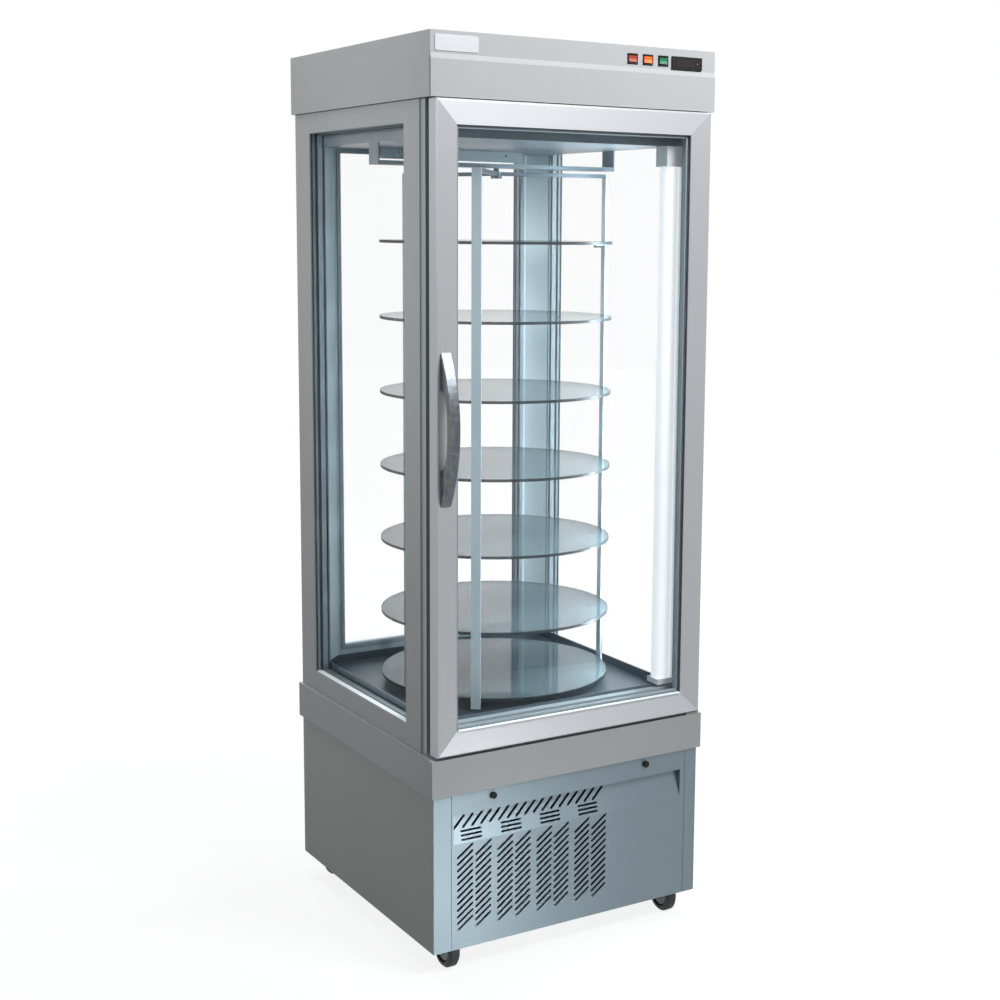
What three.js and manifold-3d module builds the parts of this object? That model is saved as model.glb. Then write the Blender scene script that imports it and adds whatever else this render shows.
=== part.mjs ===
import * as THREE from 'three';
import { mergeVertices } from 'three/addons/utils/BufferGeometryUtils.js';
import Module from 'manifold-3d';

// Revolving glass display cabinet, in millimetres. +X right, +Y back, +Z up, door at the front.

// Whole cabinet
const cabinetWidth = 660;
const cabinetDepth = 660;
const cabinetHeight = 1860;
const canopyHeight = 121.5;
const bandTop = 455;
const bandHeight = 77;
const skirtBase = 50;
const bodyInset = 6.5;
const sheet = 2;
const fit = 0.3;
const overrun = 5;

// Canopy and fascia
const fasciaUpperHeight = 47;
const fasciaStep = 2.5;
const fasciaFoldHeight = 10;
const fasciaFlange = 34;
const ceilingRise = 17.5;
const linerDrop = 69.5;
const panWall = 3;
const barHalfWidth = 22;
const barDrop = 45;
const barLipHeight = 8.5;
const barBracket = 3;
const topPivotRadius = 6;
const topPivotReach = 6;
const rockerSetBack = 206;
const rockerPitch = 37.5;
const rockerDrop = 26;
const rockerWidth = 18.4;
const rockerHeight = 12.4;
const rockerDepth = 14;
const rockerPivotSetBack = 6.5;
const rockerValley = 1.5;
const rockerWindowHeight = 16;
const controllerSetBack = 110;
const controllerWidth = 75;
const controllerDrop = 28;
const controllerHeight = 26;
const controllerLip = 2;
const controllerFace = 3;
const controllerDepth = 62;

// Window frames and glazing
const frameThickness = 33.5;
const frameSetBack = 60;
const frontStileWidth = 66;
const rearStileWidth = 75.5;
const lowerRailHeight = 45;
const upperRailHeight = 42.5;
const rearFrameStileWidth = 55.7;
const rearLowerRailHeight = 82;
const rearUpperRailHeight = 77.5;
const rebate = 8;
const glazingThickness = 20;
const paneThickness = 4;
const spacerWidth = 10;
const breatherWidth = 5;
const surroundThickness = 19;
const surroundInset = 3;
const surroundSideWidth = 36.5;
const surroundLowerHeight = 57;
const surroundUpperHeight = 48.5;
const cornerChamfer = 41;

// Door
const doorLeftMargin = 10;
const doorRightMargin = 9;
const doorLowerGap = 6;
const doorUpperGap = 2;
const doorStandOut = 3;
const doorThickness = 30;
const profileWidth = 47;
const profileFlat = 4;
const profileBevel = 6;
const profileEdge = 2;
const profileLip = 9;
const grooveDepth = 9;
const doorGlassThickness = 18;
const gasketSideInset = 17.5;
const gasketLowerInset = 14;
const gasketUpperInset = 13.5;
const gasketWidth = 16;
const gasketGroove = 4;
const hingeSetIn = 13;
const hingePinRadius = 4;
const hingePinReach = 20;
const hingePlate = 3;
const hingePlateWidth = 32;
const handleSetIn = 20;
const handleWidth = 24;
const handleRise = 502;
const handleLength = 298;
const handleFoot = 72;
const handleBulge = 37;
const handleStrap = 12;
const handleRound = 2;

// Rack
const discSetBack = 18.7;
const discThickness = 6;
const baseDiscRise = 20;
const firstShelfRise = 140.5;
const topShelfDrop = 151.5;
const shelfCount = 6;
const postCount = 3;
const postGap = 4;
const postWidth = 20;
const postThickness = 6;
const postFootRise = 5;
const postTopDrop = 53;
const firstPostDegrees = 231.5;
const lugLength = 20;
const lugWidth = 10;
const lugThickness = 4;
const spiderArmWidth = 14;
const spiderArmThickness = 8;
const spiderHubRadius = 12;
const spiderHubDrop = 14;
const driveShaftRadius = 8;
const driveShaftReach = 40;
const lowerHubRadius = 30;
const lowerArmThickness = 6;

// Interior
const trayRise = 45;
const trayRimHeight = 18;
const trayRim = 3;
const bearingRadius = 24;
const coverSideGap = 110.7;
const coverDepth = 60;
const coverFaceHeight = 24;
const coverRearGap = 39.7;
const coverRearHeight = 18;
const coverSlotMargin = 30;
const coverSlotPitch = 40;
const coverSlotWidth = 14;
const coverSlotEndMargin = 12;
const lampSink = 1.1;
const lampSetBack = 4;
const lampRadius = 20;
const lampWall = 1.5;
const lampTubeRadius = 8;
const lampFootRise = 30;
const lampTopDrop = 42;
const channelThickness = 3.5;
const channelHalf = 18;

// Lower body
const leftReturnWidth = 39.5;
const rightReturnWidth = 29.5;
const rearReturnWidth = 25.5;
const panelTopGap = 2;
const panelGap = 1;
const recessTopDrop = 43;
const recessHeight = 61;
const recessDepth = 14;
const recessLeftMargin = 3;
const recessRightMargin = 10;
const screwSetIn = 96;
const screwDrop = 14.5;
const screwKnobRadius = 7;
const screwKnobLength = 5;
const screwShankRadius = 3;
const screwShankLength = 12;
const bandDeck = 4;
const bandFlange = 16;
const lipDrop = 33;
const lipEndGap = 6;
const rearSlotLength = 120;
const rearSlotWidth = 6;
const rearSlotPitchX = 160;
const rearSlotPitchZ = 24;
const rearSlotRise = 80;
const rearSlotColumns = 3;
const rearSlotTopMargin = 70;

// Grille slots
const columnSetIn = 32;
const columnStep = 42;
const columnPairStep = 93.3;
const columnPairs = 4;
const columnFootMargin = 40;
const columnDrop = 16.5;
const columnRowPitch = 13.9;
const slotRun = 38;
const slotRise = 27;
const slotWidth = 5.2;
const slitSetIn = 48;
const slitLength = 50;
const slitWidth = 4.2;
const slitPitch = 8.5;
const slitDrop = 37;
const slitRows = 3;
const upperSlotSetIn = 23;
const upperSlotPitch = 20.8;
const upperSlotCount = 17;
const upperSlotRun = 30;
const upperSlotRise = 26;
const upperSlotWidth = 5.5;
const upperSlotDrop = 18;

// Machine space
const plateWheelGap = 20;
const plateSetBack = 16.5;
const plateFlange = 12;
const compressorSideGap = 193.5;
const compressorRearGap = 213.5;
const compressorRadius = 85;
const compressorHeight = 190;
const compressorShoulder = 35;
const compressorFootMargin = 5;
const footThickness = 5;
const condenserSideGap = 83.5;
const condenserWidth = 250;
const condenserSetBack = 33.5;
const condenserCore = 40;
const condenserHeadroom = 45.7;
const shroudDepth = 46;
const shroudWall = 3;
const shroudPlate = 8;
const barThickness = 5;
const finGap = 7;
const finPitch = 15;
const finCount = 15;
const finMargin = 12;
const fanMargin = 29.5;
const fanClearance = 5;
const fanHubRadius = 22;
const fanHubDepth = 20;
const fanBladeCount = 5;
const fanBladeThickness = 2;
const fanBladePitchDegrees = 28;
const fanBladeChord = 38;
const fanSetIn = 4;
const fanShaftRadius = 4;
const fanMotorRadius = 26;
const fanMotorDepth = 40;
const strutWidth = 12;
const gearWidth = 96;
const gearDepth = 100;
const gearHeight = 56;
const gearShaftSetBack = 37;
const gearMotorRadius = 26;
const gearMotorLength = 110;

// Casters
const casterSideInset = 52;
const casterEndInset = 61.5;
const casterTrail = 20;
const wheelRadius = 37.5;
const wheelWidth = 25;
const wheelShoulder = 5;
const wheelRecess = 5;
const wheelRimRadius = 26;
const wheelHubRadius = 10;
const axleRadius = 4;
const forkPlateRadius = 24;
const forkPlateThickness = 5;
const forkLeg = 2.5;
const forkLegHalf = 15;
const wheelClearance = 1.5;
const axleBoss = 9;
const forkStemRadius = 6;
const forkStemReach = 14;

// Roundness
const discSides = 64;
const wheelSides = 24;
const potSides = 32;
const rodSides = 16;
const bowSteps = 12;
const bowEdgeSteps = 2;
const domeSteps = 6;

// Paint and metal, as seen
const finishes = {
  greyPaint: [0xa6a8ac, 0.5, 0.25],
  anodised: [0xb4b6ba, 0.4, 0.7],
  steel: [0x8f9aa4, 0.4, 0.75],
  bright: [0xc8ccd0, 0.15, 1],
  zinc: [0x9aa0a4, 0.45, 0.8],
  glass: [0xbfd2d6, 0.05, 0],
  dark: [0x22262a, 0.6, 0],
  liner: [0xc2c9cd, 0.45, 0.3],
  white: [0xf4f6f6, 0.4, 0],
  black: [0x141414, 0.4, 0],
  red: [0xb0241c, 0.35, 0],
  orange: [0xe8641c, 0.35, 0],
  green: [0x1c7a4a, 0.35, 0],
};

// Levels and planes that several pieces share
const halfWidth = cabinetWidth / 2;
const halfDepth = cabinetDepth / 2;
const canopyBase = cabinetHeight - canopyHeight;
const ceilingTop = canopyBase + ceilingRise;
const linerBase = canopyBase - linerDrop;
const bandBase = bandTop - bandHeight;
const bodyX = halfWidth - bodyInset;
const bodyY = halfDepth - bodyInset;
const frameInner = bodyX - frameThickness;
const glassOuter = frameInner + glazingThickness;
const rearInner = bodyY - frameThickness;
const rearGlassOuter = rearInner + glazingThickness;
const frameFront = -halfDepth + frameSetBack;
const plugHalf = frameInner - fit;
const plugFront = frameFront + fit;
const plugRear = rearInner - fit;
const trayTop = bandTop + trayRise;
const trayRimTop = trayTop + trayRimHeight;
const doorLeft = -halfWidth + doorLeftMargin;
const doorRight = halfWidth - doorRightMargin;
const doorBase = bandTop + doorLowerGap;
const doorTop = canopyBase - doorUpperGap;
const doorFront = -halfDepth - doorStandOut;
const doorBack = doorFront + doorThickness;
const hingeX = doorRight - hingeSetIn;
const hingeY = (doorFront + doorBack) / 2;
const barBase = linerBase - barDrop;
const deckBase = bandTop - bandDeck;
const shaftHole = driveShaftRadius + fit;
const panelTop = bandBase - panelTopGap;
const leftReturn = bodyX - leftReturnWidth;
const rightReturn = bodyX - rightReturnWidth;
const rearReturn = bodyX - rearReturnWidth;
const screwX = leftReturn - screwSetIn;
const screwZ = panelTop - screwDrop;
const plateZ = wheelRadius * 2 + plateWheelGap;
const fullTurn = Math.PI * 2;
const radians = THREE.MathUtils.degToRad;

const wasm = await Module();
wasm.setup();

// Turns a closed surface into a solid that can be cut and joined
function solid(geometry) {
  const bare = geometry.clone();
  bare.deleteAttribute('normal');
  bare.deleteAttribute('uv');
  const welded = mergeVertices(bare);
  return new wasm.Manifold(new wasm.Mesh({
    numProp: 3,
    vertProperties: new Float32Array(welded.attributes.position.array),
    triVerts: new Uint32Array(welded.index.array),
  }));
}

// A solid's surface again, flat shaded
function surface(body) {
  const mesh = body.getMesh();
  const geometry = new THREE.BufferGeometry();
  geometry.setAttribute('position', new THREE.BufferAttribute(mesh.vertProperties, 3));
  geometry.setIndex(new THREE.BufferAttribute(mesh.triVerts, 1));
  geometry.computeVertexNormals();
  return geometry;
}

// A box between pairs of ends along x, y and z
function block(...spans) {
  const geometry = new THREE.BoxGeometry(...spans.map(([from, to]) => to - from));
  geometry.translate(...spans.map(([from, to]) => (from + to) / 2));
  return solid(geometry);
}

// Maps a drawing's own axes and its depth onto x, y and z
const axes = {
  x: new THREE.Matrix4().set(0, 0, 1, 0, 1, 0, 0, 0, 0, 1, 0, 0, 0, 0, 0, 1),
  y: new THREE.Matrix4().set(1, 0, 0, 0, 0, 0, -1, 0, 0, 1, 0, 0, 0, 0, 0, 1),
  z: new THREE.Matrix4(),
};

// An outline pushed along an axis. Along x it is drawn as (y, z), along y as (x, z), along z as (x, y)
function prism(outline, along, [from, to]) {
  const shape = outline instanceof THREE.Shape ? outline : pathOf(outline);
  const geometry = new THREE.ExtrudeGeometry(shape, { depth: to - from, bevelEnabled: false });
  geometry.translate(0, 0, along === 'y' ? -to : from);
  geometry.applyMatrix4(axes[along]);
  return solid(geometry);
}

function pathOf(points) {
  return new THREE.Shape(points.map(([u, v]) => new THREE.Vector2(u, v)));
}

// A round rod along an axis, through a point of the other two axes
function rod(radius, along, [from, to], [u, v], sides = rodSides) {
  const geometry = new THREE.CylinderGeometry(radius, radius, to - from, sides);
  geometry.rotateX(Math.PI / 2);
  geometry.translate(u, v, (along === 'y' ? -(from + to) : from + to) / 2);
  geometry.applyMatrix4(axes[along]);
  return solid(geometry);
}

// A span on the right, or its mirror on the left
function sided(side, from, to) {
  return side > 0 ? [from, to] : [-to, -from];
}

function grown([from, to], by) {
  return [from - by, to + by];
}

function union(bodies) {
  return bodies.reduce((all, body) => all.add(body));
}

function drilled(body, cuts) {
  return body.subtract(union(cuts));
}

function piece(name, geometry, finish) {
  const [color, roughness, metalness] = finishes[finish];
  const material = new THREE.MeshStandardMaterial({ color, roughness, metalness });
  const mesh = new THREE.Mesh(geometry, material);
  mesh.name = name;
  return mesh;
}

const cabinet = new THREE.Group();
cabinet.name = 'revolving_display_cabinet';

function fix(name, body, finish, parent = cabinet) {
  const mesh = piece(name, surface(body), finish);
  parent.add(mesh);
  return mesh;
}

// Canopy: a sheet cap, open below and closed in front by its folded fascia
const fasciaBack = -halfDepth + fasciaStep + sheet;
const canopyInnerX = halfWidth - sheet;
const canopyInnerY = halfDepth - sheet;

fix('canopy_shell', drilled(
  block([-halfWidth, halfWidth], [fasciaBack + fit, halfDepth], [canopyBase, cabinetHeight]),
  [block(
    [-canopyInnerX, canopyInnerX],
    [fasciaBack - overrun, canopyInnerY],
    [canopyBase - overrun, cabinetHeight - sheet],
  )],
), 'greyPaint');

const fasciaUpper = -halfDepth + fasciaStep;
const fasciaFold = cabinetHeight - fasciaUpperHeight;
const foldSpan = [fasciaFold - fasciaFoldHeight / 2, fasciaFold + fasciaFoldHeight / 2];
const flangeEnd = -halfDepth + fasciaFlange;
const rockerCentres = [0, 1, 2].map((index) => halfWidth - rockerSetBack + index * rockerPitch);
const rockerZ = cabinetHeight - rockerDrop;
const controllerFrom = halfWidth - controllerSetBack;
const controllerZ = cabinetHeight - controllerDrop;
const rockerSpan = [rockerZ - rockerWindowHeight / 2, rockerZ + rockerWindowHeight / 2];
const controllerSpan = [controllerFrom, controllerFrom + controllerWidth];
const controllerRise = [controllerZ - controllerHeight / 2, controllerZ + controllerHeight / 2];
const fasciaCut = [-halfDepth - overrun, fasciaBack + overrun];

fix('front_fascia', drilled(
  prism([
    [-halfDepth, canopyBase],
    [flangeEnd, canopyBase],
    [flangeEnd, canopyBase + sheet],
    [-halfDepth + sheet, canopyBase + sheet],
    [-halfDepth + sheet, foldSpan[0]],
    [fasciaBack, foldSpan[1]],
    [fasciaBack, cabinetHeight],
    [fasciaUpper, cabinetHeight],
    [fasciaUpper, foldSpan[1]],
    [-halfDepth, foldSpan[0]],
  ], 'x', [-halfWidth, halfWidth]),
  [
    ...rockerCentres.map((x) => block(
      grown([x - rockerWidth / 2, x + rockerWidth / 2], fit),
      fasciaCut,
      rockerSpan,
    )),
    block(grown(controllerSpan, -controllerLip), fasciaCut, grown(controllerRise, -controllerLip)),
    rod(hingePinRadius + fit, 'z', grown([canopyBase, canopyBase + sheet], overrun), [hingeX, hingeY]),
    ...[-1, 1].map((side) => block(
      sided(side, canopyInnerX - fit, halfWidth + overrun),
      [fasciaBack, flangeEnd + overrun],
      grown([canopyBase, canopyBase + sheet], overrun),
    )),
  ],
), 'greyPaint');

fix('controller', block(
  controllerSpan,
  [fasciaUpper - fit - controllerFace, fasciaUpper - fit],
  controllerRise,
).add(block(
  grown(controllerSpan, -controllerLip - fit),
  [fasciaUpper - controllerFace, fasciaUpper + controllerDepth],
  grown(controllerRise, -controllerLip - fit),
)), 'black');

// Rocker keys, tipping on pivots behind the fascia
const rockerPivotY = fasciaUpper + rockerPivotSetBack;
const rockerFront = rockerPivotSetBack + controllerFace;
const rockerOutline = [
  [rockerDepth - rockerFront, -rockerHeight / 2 + rockerValley],
  [rockerDepth - rockerFront, rockerHeight / 2 - rockerValley],
  [-rockerFront, rockerHeight / 2],
  [rockerValley - rockerFront, 0],
  [-rockerFront, -rockerHeight / 2],
];
['red', 'orange', 'green'].forEach((colour, index) => {
  const key = fix(
    `rocker_${colour}`,
    prism(rockerOutline, 'x', [-rockerWidth / 2, rockerWidth / 2]),
    colour,
  );
  key.position.set(rockerCentres[index], rockerPivotY, rockerZ);
});

// Ceiling: a sheet pan between the window frames, hung from a flange. Under it a shallow cross bar
// on two end brackets takes the rack's upper pivot
const panBody = drilled(
  block(
    [-canopyInnerX + fit, canopyInnerX - fit],
    [flangeEnd + fit, canopyInnerY - fit],
    [canopyBase + fit, ceilingTop],
  ).add(block([-plugHalf, plugHalf], [plugFront, plugRear], [linerBase, canopyBase + sheet])),
  [block(
    grown([-plugHalf, plugHalf], -panWall),
    grown([plugFront, plugRear], -panWall),
    [linerBase + panWall, ceilingTop + overrun],
  )],
);
const barX = [-plugHalf, plugHalf];
const barY = [-barHalfWidth, barHalfWidth];
const barTop = barBase + barLipHeight;
fix('ceiling_panel', union([
  panBody,
  drilled(block(barX, barY, [barBase, barTop]), [
    block(grown(barX, -barBracket), grown(barY, -sheet), [barBase + sheet, barTop + overrun]),
    rod(topPivotRadius + fit, 'z', grown([barBase, barBase + sheet], overrun), [0, 0]),
  ]),
  ...[-1, 1].map((side) => block(
    sided(side, plugHalf - barBracket, plugHalf),
    barY,
    [barBase, linerBase + sheet],
  )),
]), 'liner');

// Gear motor that turns the rack from below, hung under the deck of the base band
const gearTop = deckBase - fit;
const gearBase = gearTop - gearHeight;
const gearFront = -gearShaftSetBack;
const shaftFoot = gearTop - driveShaftReach;
fix('gear_motor', drilled(
  block(
    [-gearWidth / 2, gearWidth / 2],
    [gearFront, gearFront + gearDepth],
    [gearBase, gearTop],
  ).add(rod(
    gearMotorRadius,
    'y',
    [gearFront + gearDepth - overrun, gearFront + gearDepth + gearMotorLength],
    [0, (gearBase + gearTop) / 2],
  )),
  [rod(shaftHole, 'z', [shaftFoot - fit, gearTop + overrun], [0, 0])],
), 'zinc');

// Window frames: a stile and rail ring with a rebate on the room side of each pane
const frameSpanZ = [bandTop + fit, canopyBase - fit];
const sideGlassY = [frameFront + frontStileWidth, bodyY - rearStileWidth];
const sideGlassZ = [bandTop + lowerRailHeight, canopyBase - upperRailHeight];
[['left', -1], ['right', 1]].forEach(([name, side]) => {
  const through = sided(side, frameInner - overrun, bodyX + overrun);
  const deep = sided(side, frameInner - overrun, glassOuter);
  fix(`${name}_window_frame`, drilled(
    block(sided(side, frameInner, bodyX), [frameFront, bodyY], frameSpanZ),
    [
      block(through, sideGlassY, sideGlassZ),
      block(deep, grown(sideGlassY, rebate), grown(sideGlassZ, rebate)),
    ],
  ), 'greyPaint');
});

// The rear frame stands between the side frames and carries the two chamfered corner covers
const rearGlassX = grown([-plugHalf, plugHalf], -rearFrameStileWidth);
const rearGlassZ = [bandTop + rearLowerRailHeight, canopyBase - rearUpperRailHeight];
const coverSpanZ = [trayRimTop + fit, linerBase - fit];
const cornerCovers = [-1, 1].map((side) => prism([
  [side * (plugHalf - cornerChamfer), rearInner + fit],
  [side * plugHalf, rearInner + fit - cornerChamfer],
  [side * plugHalf, rearInner + sheet],
  [side * (plugHalf - cornerChamfer), rearInner + sheet],
], 'z', coverSpanZ));
fix('rear_window_frame', union([
  drilled(
    block([-plugHalf, plugHalf], [rearInner, bodyY], frameSpanZ),
    [
      block(rearGlassX, [rearInner - overrun, bodyY + overrun], rearGlassZ),
      block(
        grown(rearGlassX, rebate),
        [rearInner - overrun, rearGlassOuter],
        grown(rearGlassZ, rebate),
      ),
    ],
  ),
  ...cornerCovers,
]), 'greyPaint');

// Sealed double panes: two sheets on a spacer with a small breather in the lower run
function glazing(spanX, spanY, spanZ, thin) {
  const spans = [spanX, spanY, spanZ];
  const gap = spans.map((span, axis) => grown(span, axis === thin ? -paneThickness : -spacerWidth));
  const breather = spans.map((span, axis) => {
    if (axis === thin) return grown(span, -paneThickness);
    const middle = (span[0] + span[1]) / 2;
    if (axis !== 2) return [middle - breatherWidth / 2, middle + breatherWidth / 2];
    return [span[0] - overrun, span[0] + spacerWidth + overrun];
  });
  return drilled(block(...spans), [block(...gap), block(...breather)]);
}

const seat = rebate - fit;
[['left', -1], ['right', 1]].forEach(([name, side]) => {
  fix(`${name}_glazing`, glazing(
    sided(side, frameInner + fit, glassOuter - fit),
    grown(sideGlassY, seat),
    grown(sideGlassZ, seat),
    0,
  ), 'glass');
});
fix('rear_glazing', glazing(
  grown(rearGlassX, seat),
  [rearInner + fit, rearGlassOuter - fit],
  grown(rearGlassZ, seat),
  1,
), 'glass');

// Dark surround that the door closes on
const surroundX = grown([-bodyX, bodyX], -surroundInset);
const surroundOpening = grown([-bodyX, bodyX], -surroundSideWidth);
fix('door_surround', drilled(
  block(surroundX, [frameFront - surroundThickness, frameFront - fit], frameSpanZ),
  [block(
    surroundOpening,
    [frameFront - surroundThickness - overrun, frameFront + overrun],
    [bandTop + surroundLowerHeight, canopyBase - surroundUpperHeight],
  )],
), 'dark');

// Base band: a folded deck with inturned lower edges, and a lip that takes the grille's two screws
const panelBack = -bodyY + sheet;
const lipSpanY = [panelBack + fit, panelBack + fit + sheet];
const screwHole = screwShankRadius + fit;
const lipHalf = leftReturn - lipEndGap;
const lipBase = bandBase - lipDrop;
const bandX = [-halfWidth, halfWidth];
const bandY = [-halfDepth, halfDepth];
fix('base_band', drilled(
  drilled(block(bandX, bandY, [bandBase, bandTop]), [
    block(grown(bandX, -sheet), grown(bandY, -sheet), [bandBase + sheet, deckBase]),
    block(grown(bandX, -bandFlange), grown(bandY, -bandFlange), [bandBase - overrun, deckBase]),
  ]).add(block([-lipHalf, lipHalf], lipSpanY, [lipBase, bandBase + sheet])),
  [
    rod(shaftHole, 'z', grown([deckBase, bandTop], overrun), [0, 0]),
    ...[-screwX, screwX].map((x) => rod(screwHole, 'y', grown(lipSpanY, overrun), [x, screwZ])),
  ],
), 'greyPaint');

// Raised floor tray: a sheet deck with a low rim, and a bearing boss under it for the drive shaft
const trayX = [-plugHalf, plugHalf];
const trayY = [plugFront, plugRear];
fix('floor_tray', drilled(
  block(trayX, trayY, [bandTop + fit, trayRimTop]),
  [
    block(grown(trayX, -trayRim), grown(trayY, -trayRim), [trayTop, trayRimTop + overrun]),
    block(
      grown(trayX, -trayRim),
      grown(trayY, -trayRim),
      [bandTop - overrun, trayTop - trayRim],
    ).subtract(rod(bearingRadius, 'z', [bandTop, trayTop], [0, 0])),
    rod(shaftHole, 'z', grown([bandTop, trayTop], overrun), [0, 0]),
  ],
), 'steel');

// Evaporator cover: an open-topped sheet trough under the rear of the ceiling, slotted below
const coverTop = linerBase - fit;
const coverHalf = plugHalf - coverSideGap;
const coverRear = plugRear - coverRearGap;
const coverFront = coverRear - coverDepth;
const coverFaceBase = linerBase - coverFaceHeight;
const coverRearBase = linerBase - coverRearHeight;
const coverSlotPairs = Math.floor((coverHalf - coverSlotMargin) / coverSlotPitch);
const coverOutline = [
  [coverFront, coverTop],
  [coverFront, coverFaceBase],
  [coverRear, coverRearBase],
  [coverRear, coverTop],
];
const coverHollow = [
  [coverFront + sheet, coverTop + overrun],
  [coverFront + sheet, coverFaceBase + sheet],
  [coverRear - sheet, coverRearBase + sheet],
  [coverRear - sheet, coverTop + overrun],
];
fix('evaporator_cover', drilled(
  prism(coverOutline, 'x', [-coverHalf, coverHalf]),
  [
    prism(coverHollow, 'x', [-coverHalf + sheet, coverHalf - sheet]),
    ...Array.from({ length: coverSlotPairs * 2 + 1 }, (_, index) => {
      const x = (index - coverSlotPairs) * coverSlotPitch;
      return block(
        [x - coverSlotWidth / 2, x + coverSlotWidth / 2],
        grown([coverFront, coverRear], -coverSlotEndMargin),
        grown([coverFaceBase, coverRearBase], overrun),
      );
    }),
  ],
), 'liner');

// Upright lamp in the front right corner: channel with two end sockets, tube and diffuser
const channelTo = plugHalf - trayRim - fit;
const channelFrom = channelTo - channelThickness;
const lampX = channelFrom - lampRadius + lampSink;
const lampBase = trayTop + lampFootRise;
const lampTop = linerBase - lampTopDrop;
const lampY = frameFront + lampSetBack;
const lampEnds = [lampBase, lampTop];
const lampSpanY = [lampY - lampRadius, lampY + lampRadius];
const socketX = [lampX - lampRadius, channelFrom + lampWall];
fix('lamp_fixture', union([
  block(
    [channelFrom, channelTo],
    [lampY - channelHalf, lampY + channelHalf],
    [trayRimTop + fit, linerBase - fit],
  ),
  block(socketX, lampSpanY, [trayRimTop + fit, lampBase]),
  block(socketX, lampSpanY, [lampTop, linerBase - fit]),
]), 'white');
fix('lamp_tube', rod(lampTubeRadius, 'z', grown(lampEnds, -fit), [lampX, lampY]), 'white');

const mouth = Math.acos((channelFrom - fit - lampX) / lampRadius);
const diffuser = new THREE.Shape();
diffuser.absarc(lampX, lampY, lampRadius, mouth, fullTurn - mouth, false);
diffuser.absarc(lampX, lampY, lampRadius - lampWall, fullTurn - mouth, mouth, true);
fix('lamp_cover', prism(diffuser, 'z', grown(lampEnds, -fit)), 'white');

// Hinge brackets: a pin down from the canopy flange and one up from the band
const hingeAt = [hingeX, hingeY];
const hingeRight = hingeX + hingePlateWidth / 2;
const hingeLeft = hingeX - hingePlateWidth / 2;
const upperPlate = canopyBase + sheet + fit;
const hingeSpanY = [-halfDepth + sheet + fit, flangeEnd];
fix('upper_hinge', block(
  [hingeLeft, hingeRight],
  hingeSpanY,
  [upperPlate, upperPlate + hingePlate],
).add(rod(hingePinRadius, 'z', [doorTop - hingePinReach, upperPlate + hingePlate], hingeAt)), 'zinc');
fix('lower_hinge', block(
  [hingeLeft, hingeRight],
  hingeSpanY,
  [bandTop + fit, bandTop + fit + hingePlate],
).add(rod(hingePinRadius, 'z', [bandTop + hingePlate, doorBase + hingePinReach], hingeAt)), 'zinc');

// Door, drawn closed, turning on the hinge line
const door = new THREE.Group();
cabinet.add(door);

// A mitred profile: outline in (inward, back), its ends cut back at forty-five degrees
const profileOutline = [
  [0, profileEdge],
  [profileEdge, 0],
  [profileFlat, 0],
  [profileWidth, profileBevel],
  [profileWidth, profileLip],
  [profileWidth - grooveDepth, profileLip],
  [profileWidth - grooveDepth, profileLip + doorGlassThickness + fit + fit],
  [profileWidth, profileLip + doorGlassThickness + fit + fit],
  [profileWidth, doorThickness],
  [0, doorThickness],
];
function profile(length) {
  const geometry = new THREE.ExtrudeGeometry(pathOf(profileOutline), {
    depth: length,
    bevelEnabled: false,
  });
  const at = geometry.attributes.position;
  for (let index = 0; index < at.count; index += 1) {
    const inward = at.getX(index) + fit / 2;
    const z = at.getZ(index);
    at.setZ(index, z > 0 ? z - inward : inward);
  }
  return geometry;
}

// Lays a profile along one side of the door: where its start corner is and which way it runs
function doorSide(corner, run, inward, length) {
  const back = new THREE.Vector3(0, 1, 0);
  const frame = new THREE.Matrix4().makeBasis(
    new THREE.Vector3(...inward),
    back,
    new THREE.Vector3(...run),
  );
  frame.setPosition(...corner);
  return profile(length).applyMatrix4(frame);
}

const doorWidth = doorRight - doorLeft;
const doorHeight = doorTop - doorBase;
const hingeBores = [
  rod(hingePinRadius + fit, 'z', [doorTop - hingePinReach - fit, doorTop + overrun], hingeAt),
  rod(hingePinRadius + fit, 'z', [doorBase - overrun, doorBase + hingePinReach + fit], hingeAt),
];
const doorSides = [
  ['door_top_rail', [doorLeft, doorFront, doorTop], [1, 0, 0], [0, 0, -1], doorWidth],
  ['door_bottom_rail', [doorRight, doorFront, doorBase], [-1, 0, 0], [0, 0, 1], doorWidth],
  ['door_handle_stile', [doorLeft, doorFront, doorBase], [0, 0, 1], [1, 0, 0], doorHeight],
  ['door_hinge_stile', [doorRight, doorFront, doorTop], [0, 0, -1], [-1, 0, 0], doorHeight],
];
doorSides.forEach(([name, corner, run, inward, length]) => {
  fix(name, drilled(solid(doorSide(corner, run, inward, length)), hingeBores), 'anodised', door);
});

const doorPaneInset = profileWidth - grooveDepth + fit;
const doorPaneFront = doorFront + profileLip + fit;
fix('door_glass', glazing(
  [doorLeft + doorPaneInset, doorRight - doorPaneInset],
  [doorPaneFront, doorPaneFront + doorGlassThickness],
  [doorBase + doorPaneInset, doorTop - doorPaneInset],
  1,
), 'glass', door);

// Bellows gasket on the back of the door, grooved round its outer edge
const gasketSpanY = [doorBack + fit, frameFront - surroundThickness - fit];
const gasketMiddle = (gasketSpanY[0] + gasketSpanY[1]) / 2;
const gasketX = grown([-bodyX, bodyX], -gasketSideInset);
const gasketZ = [doorBase + gasketLowerInset, doorTop - gasketUpperInset];
fix('door_gasket', drilled(
  block(gasketX, gasketSpanY, gasketZ),
  [
    block(grown(gasketX, -gasketWidth), grown(gasketSpanY, overrun), grown(gasketZ, -gasketWidth)),
    block(
      grown(gasketX, overrun),
      [gasketMiddle - gasketGroove / 2, gasketMiddle + gasketGroove / 2],
      grown(gasketZ, overrun),
    ).subtract(block(
      grown(gasketX, -gasketGroove),
      grown(gasketSpanY, overrun),
      grown(gasketZ, -gasketGroove),
    )),
  ],
), 'dark', door);

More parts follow.
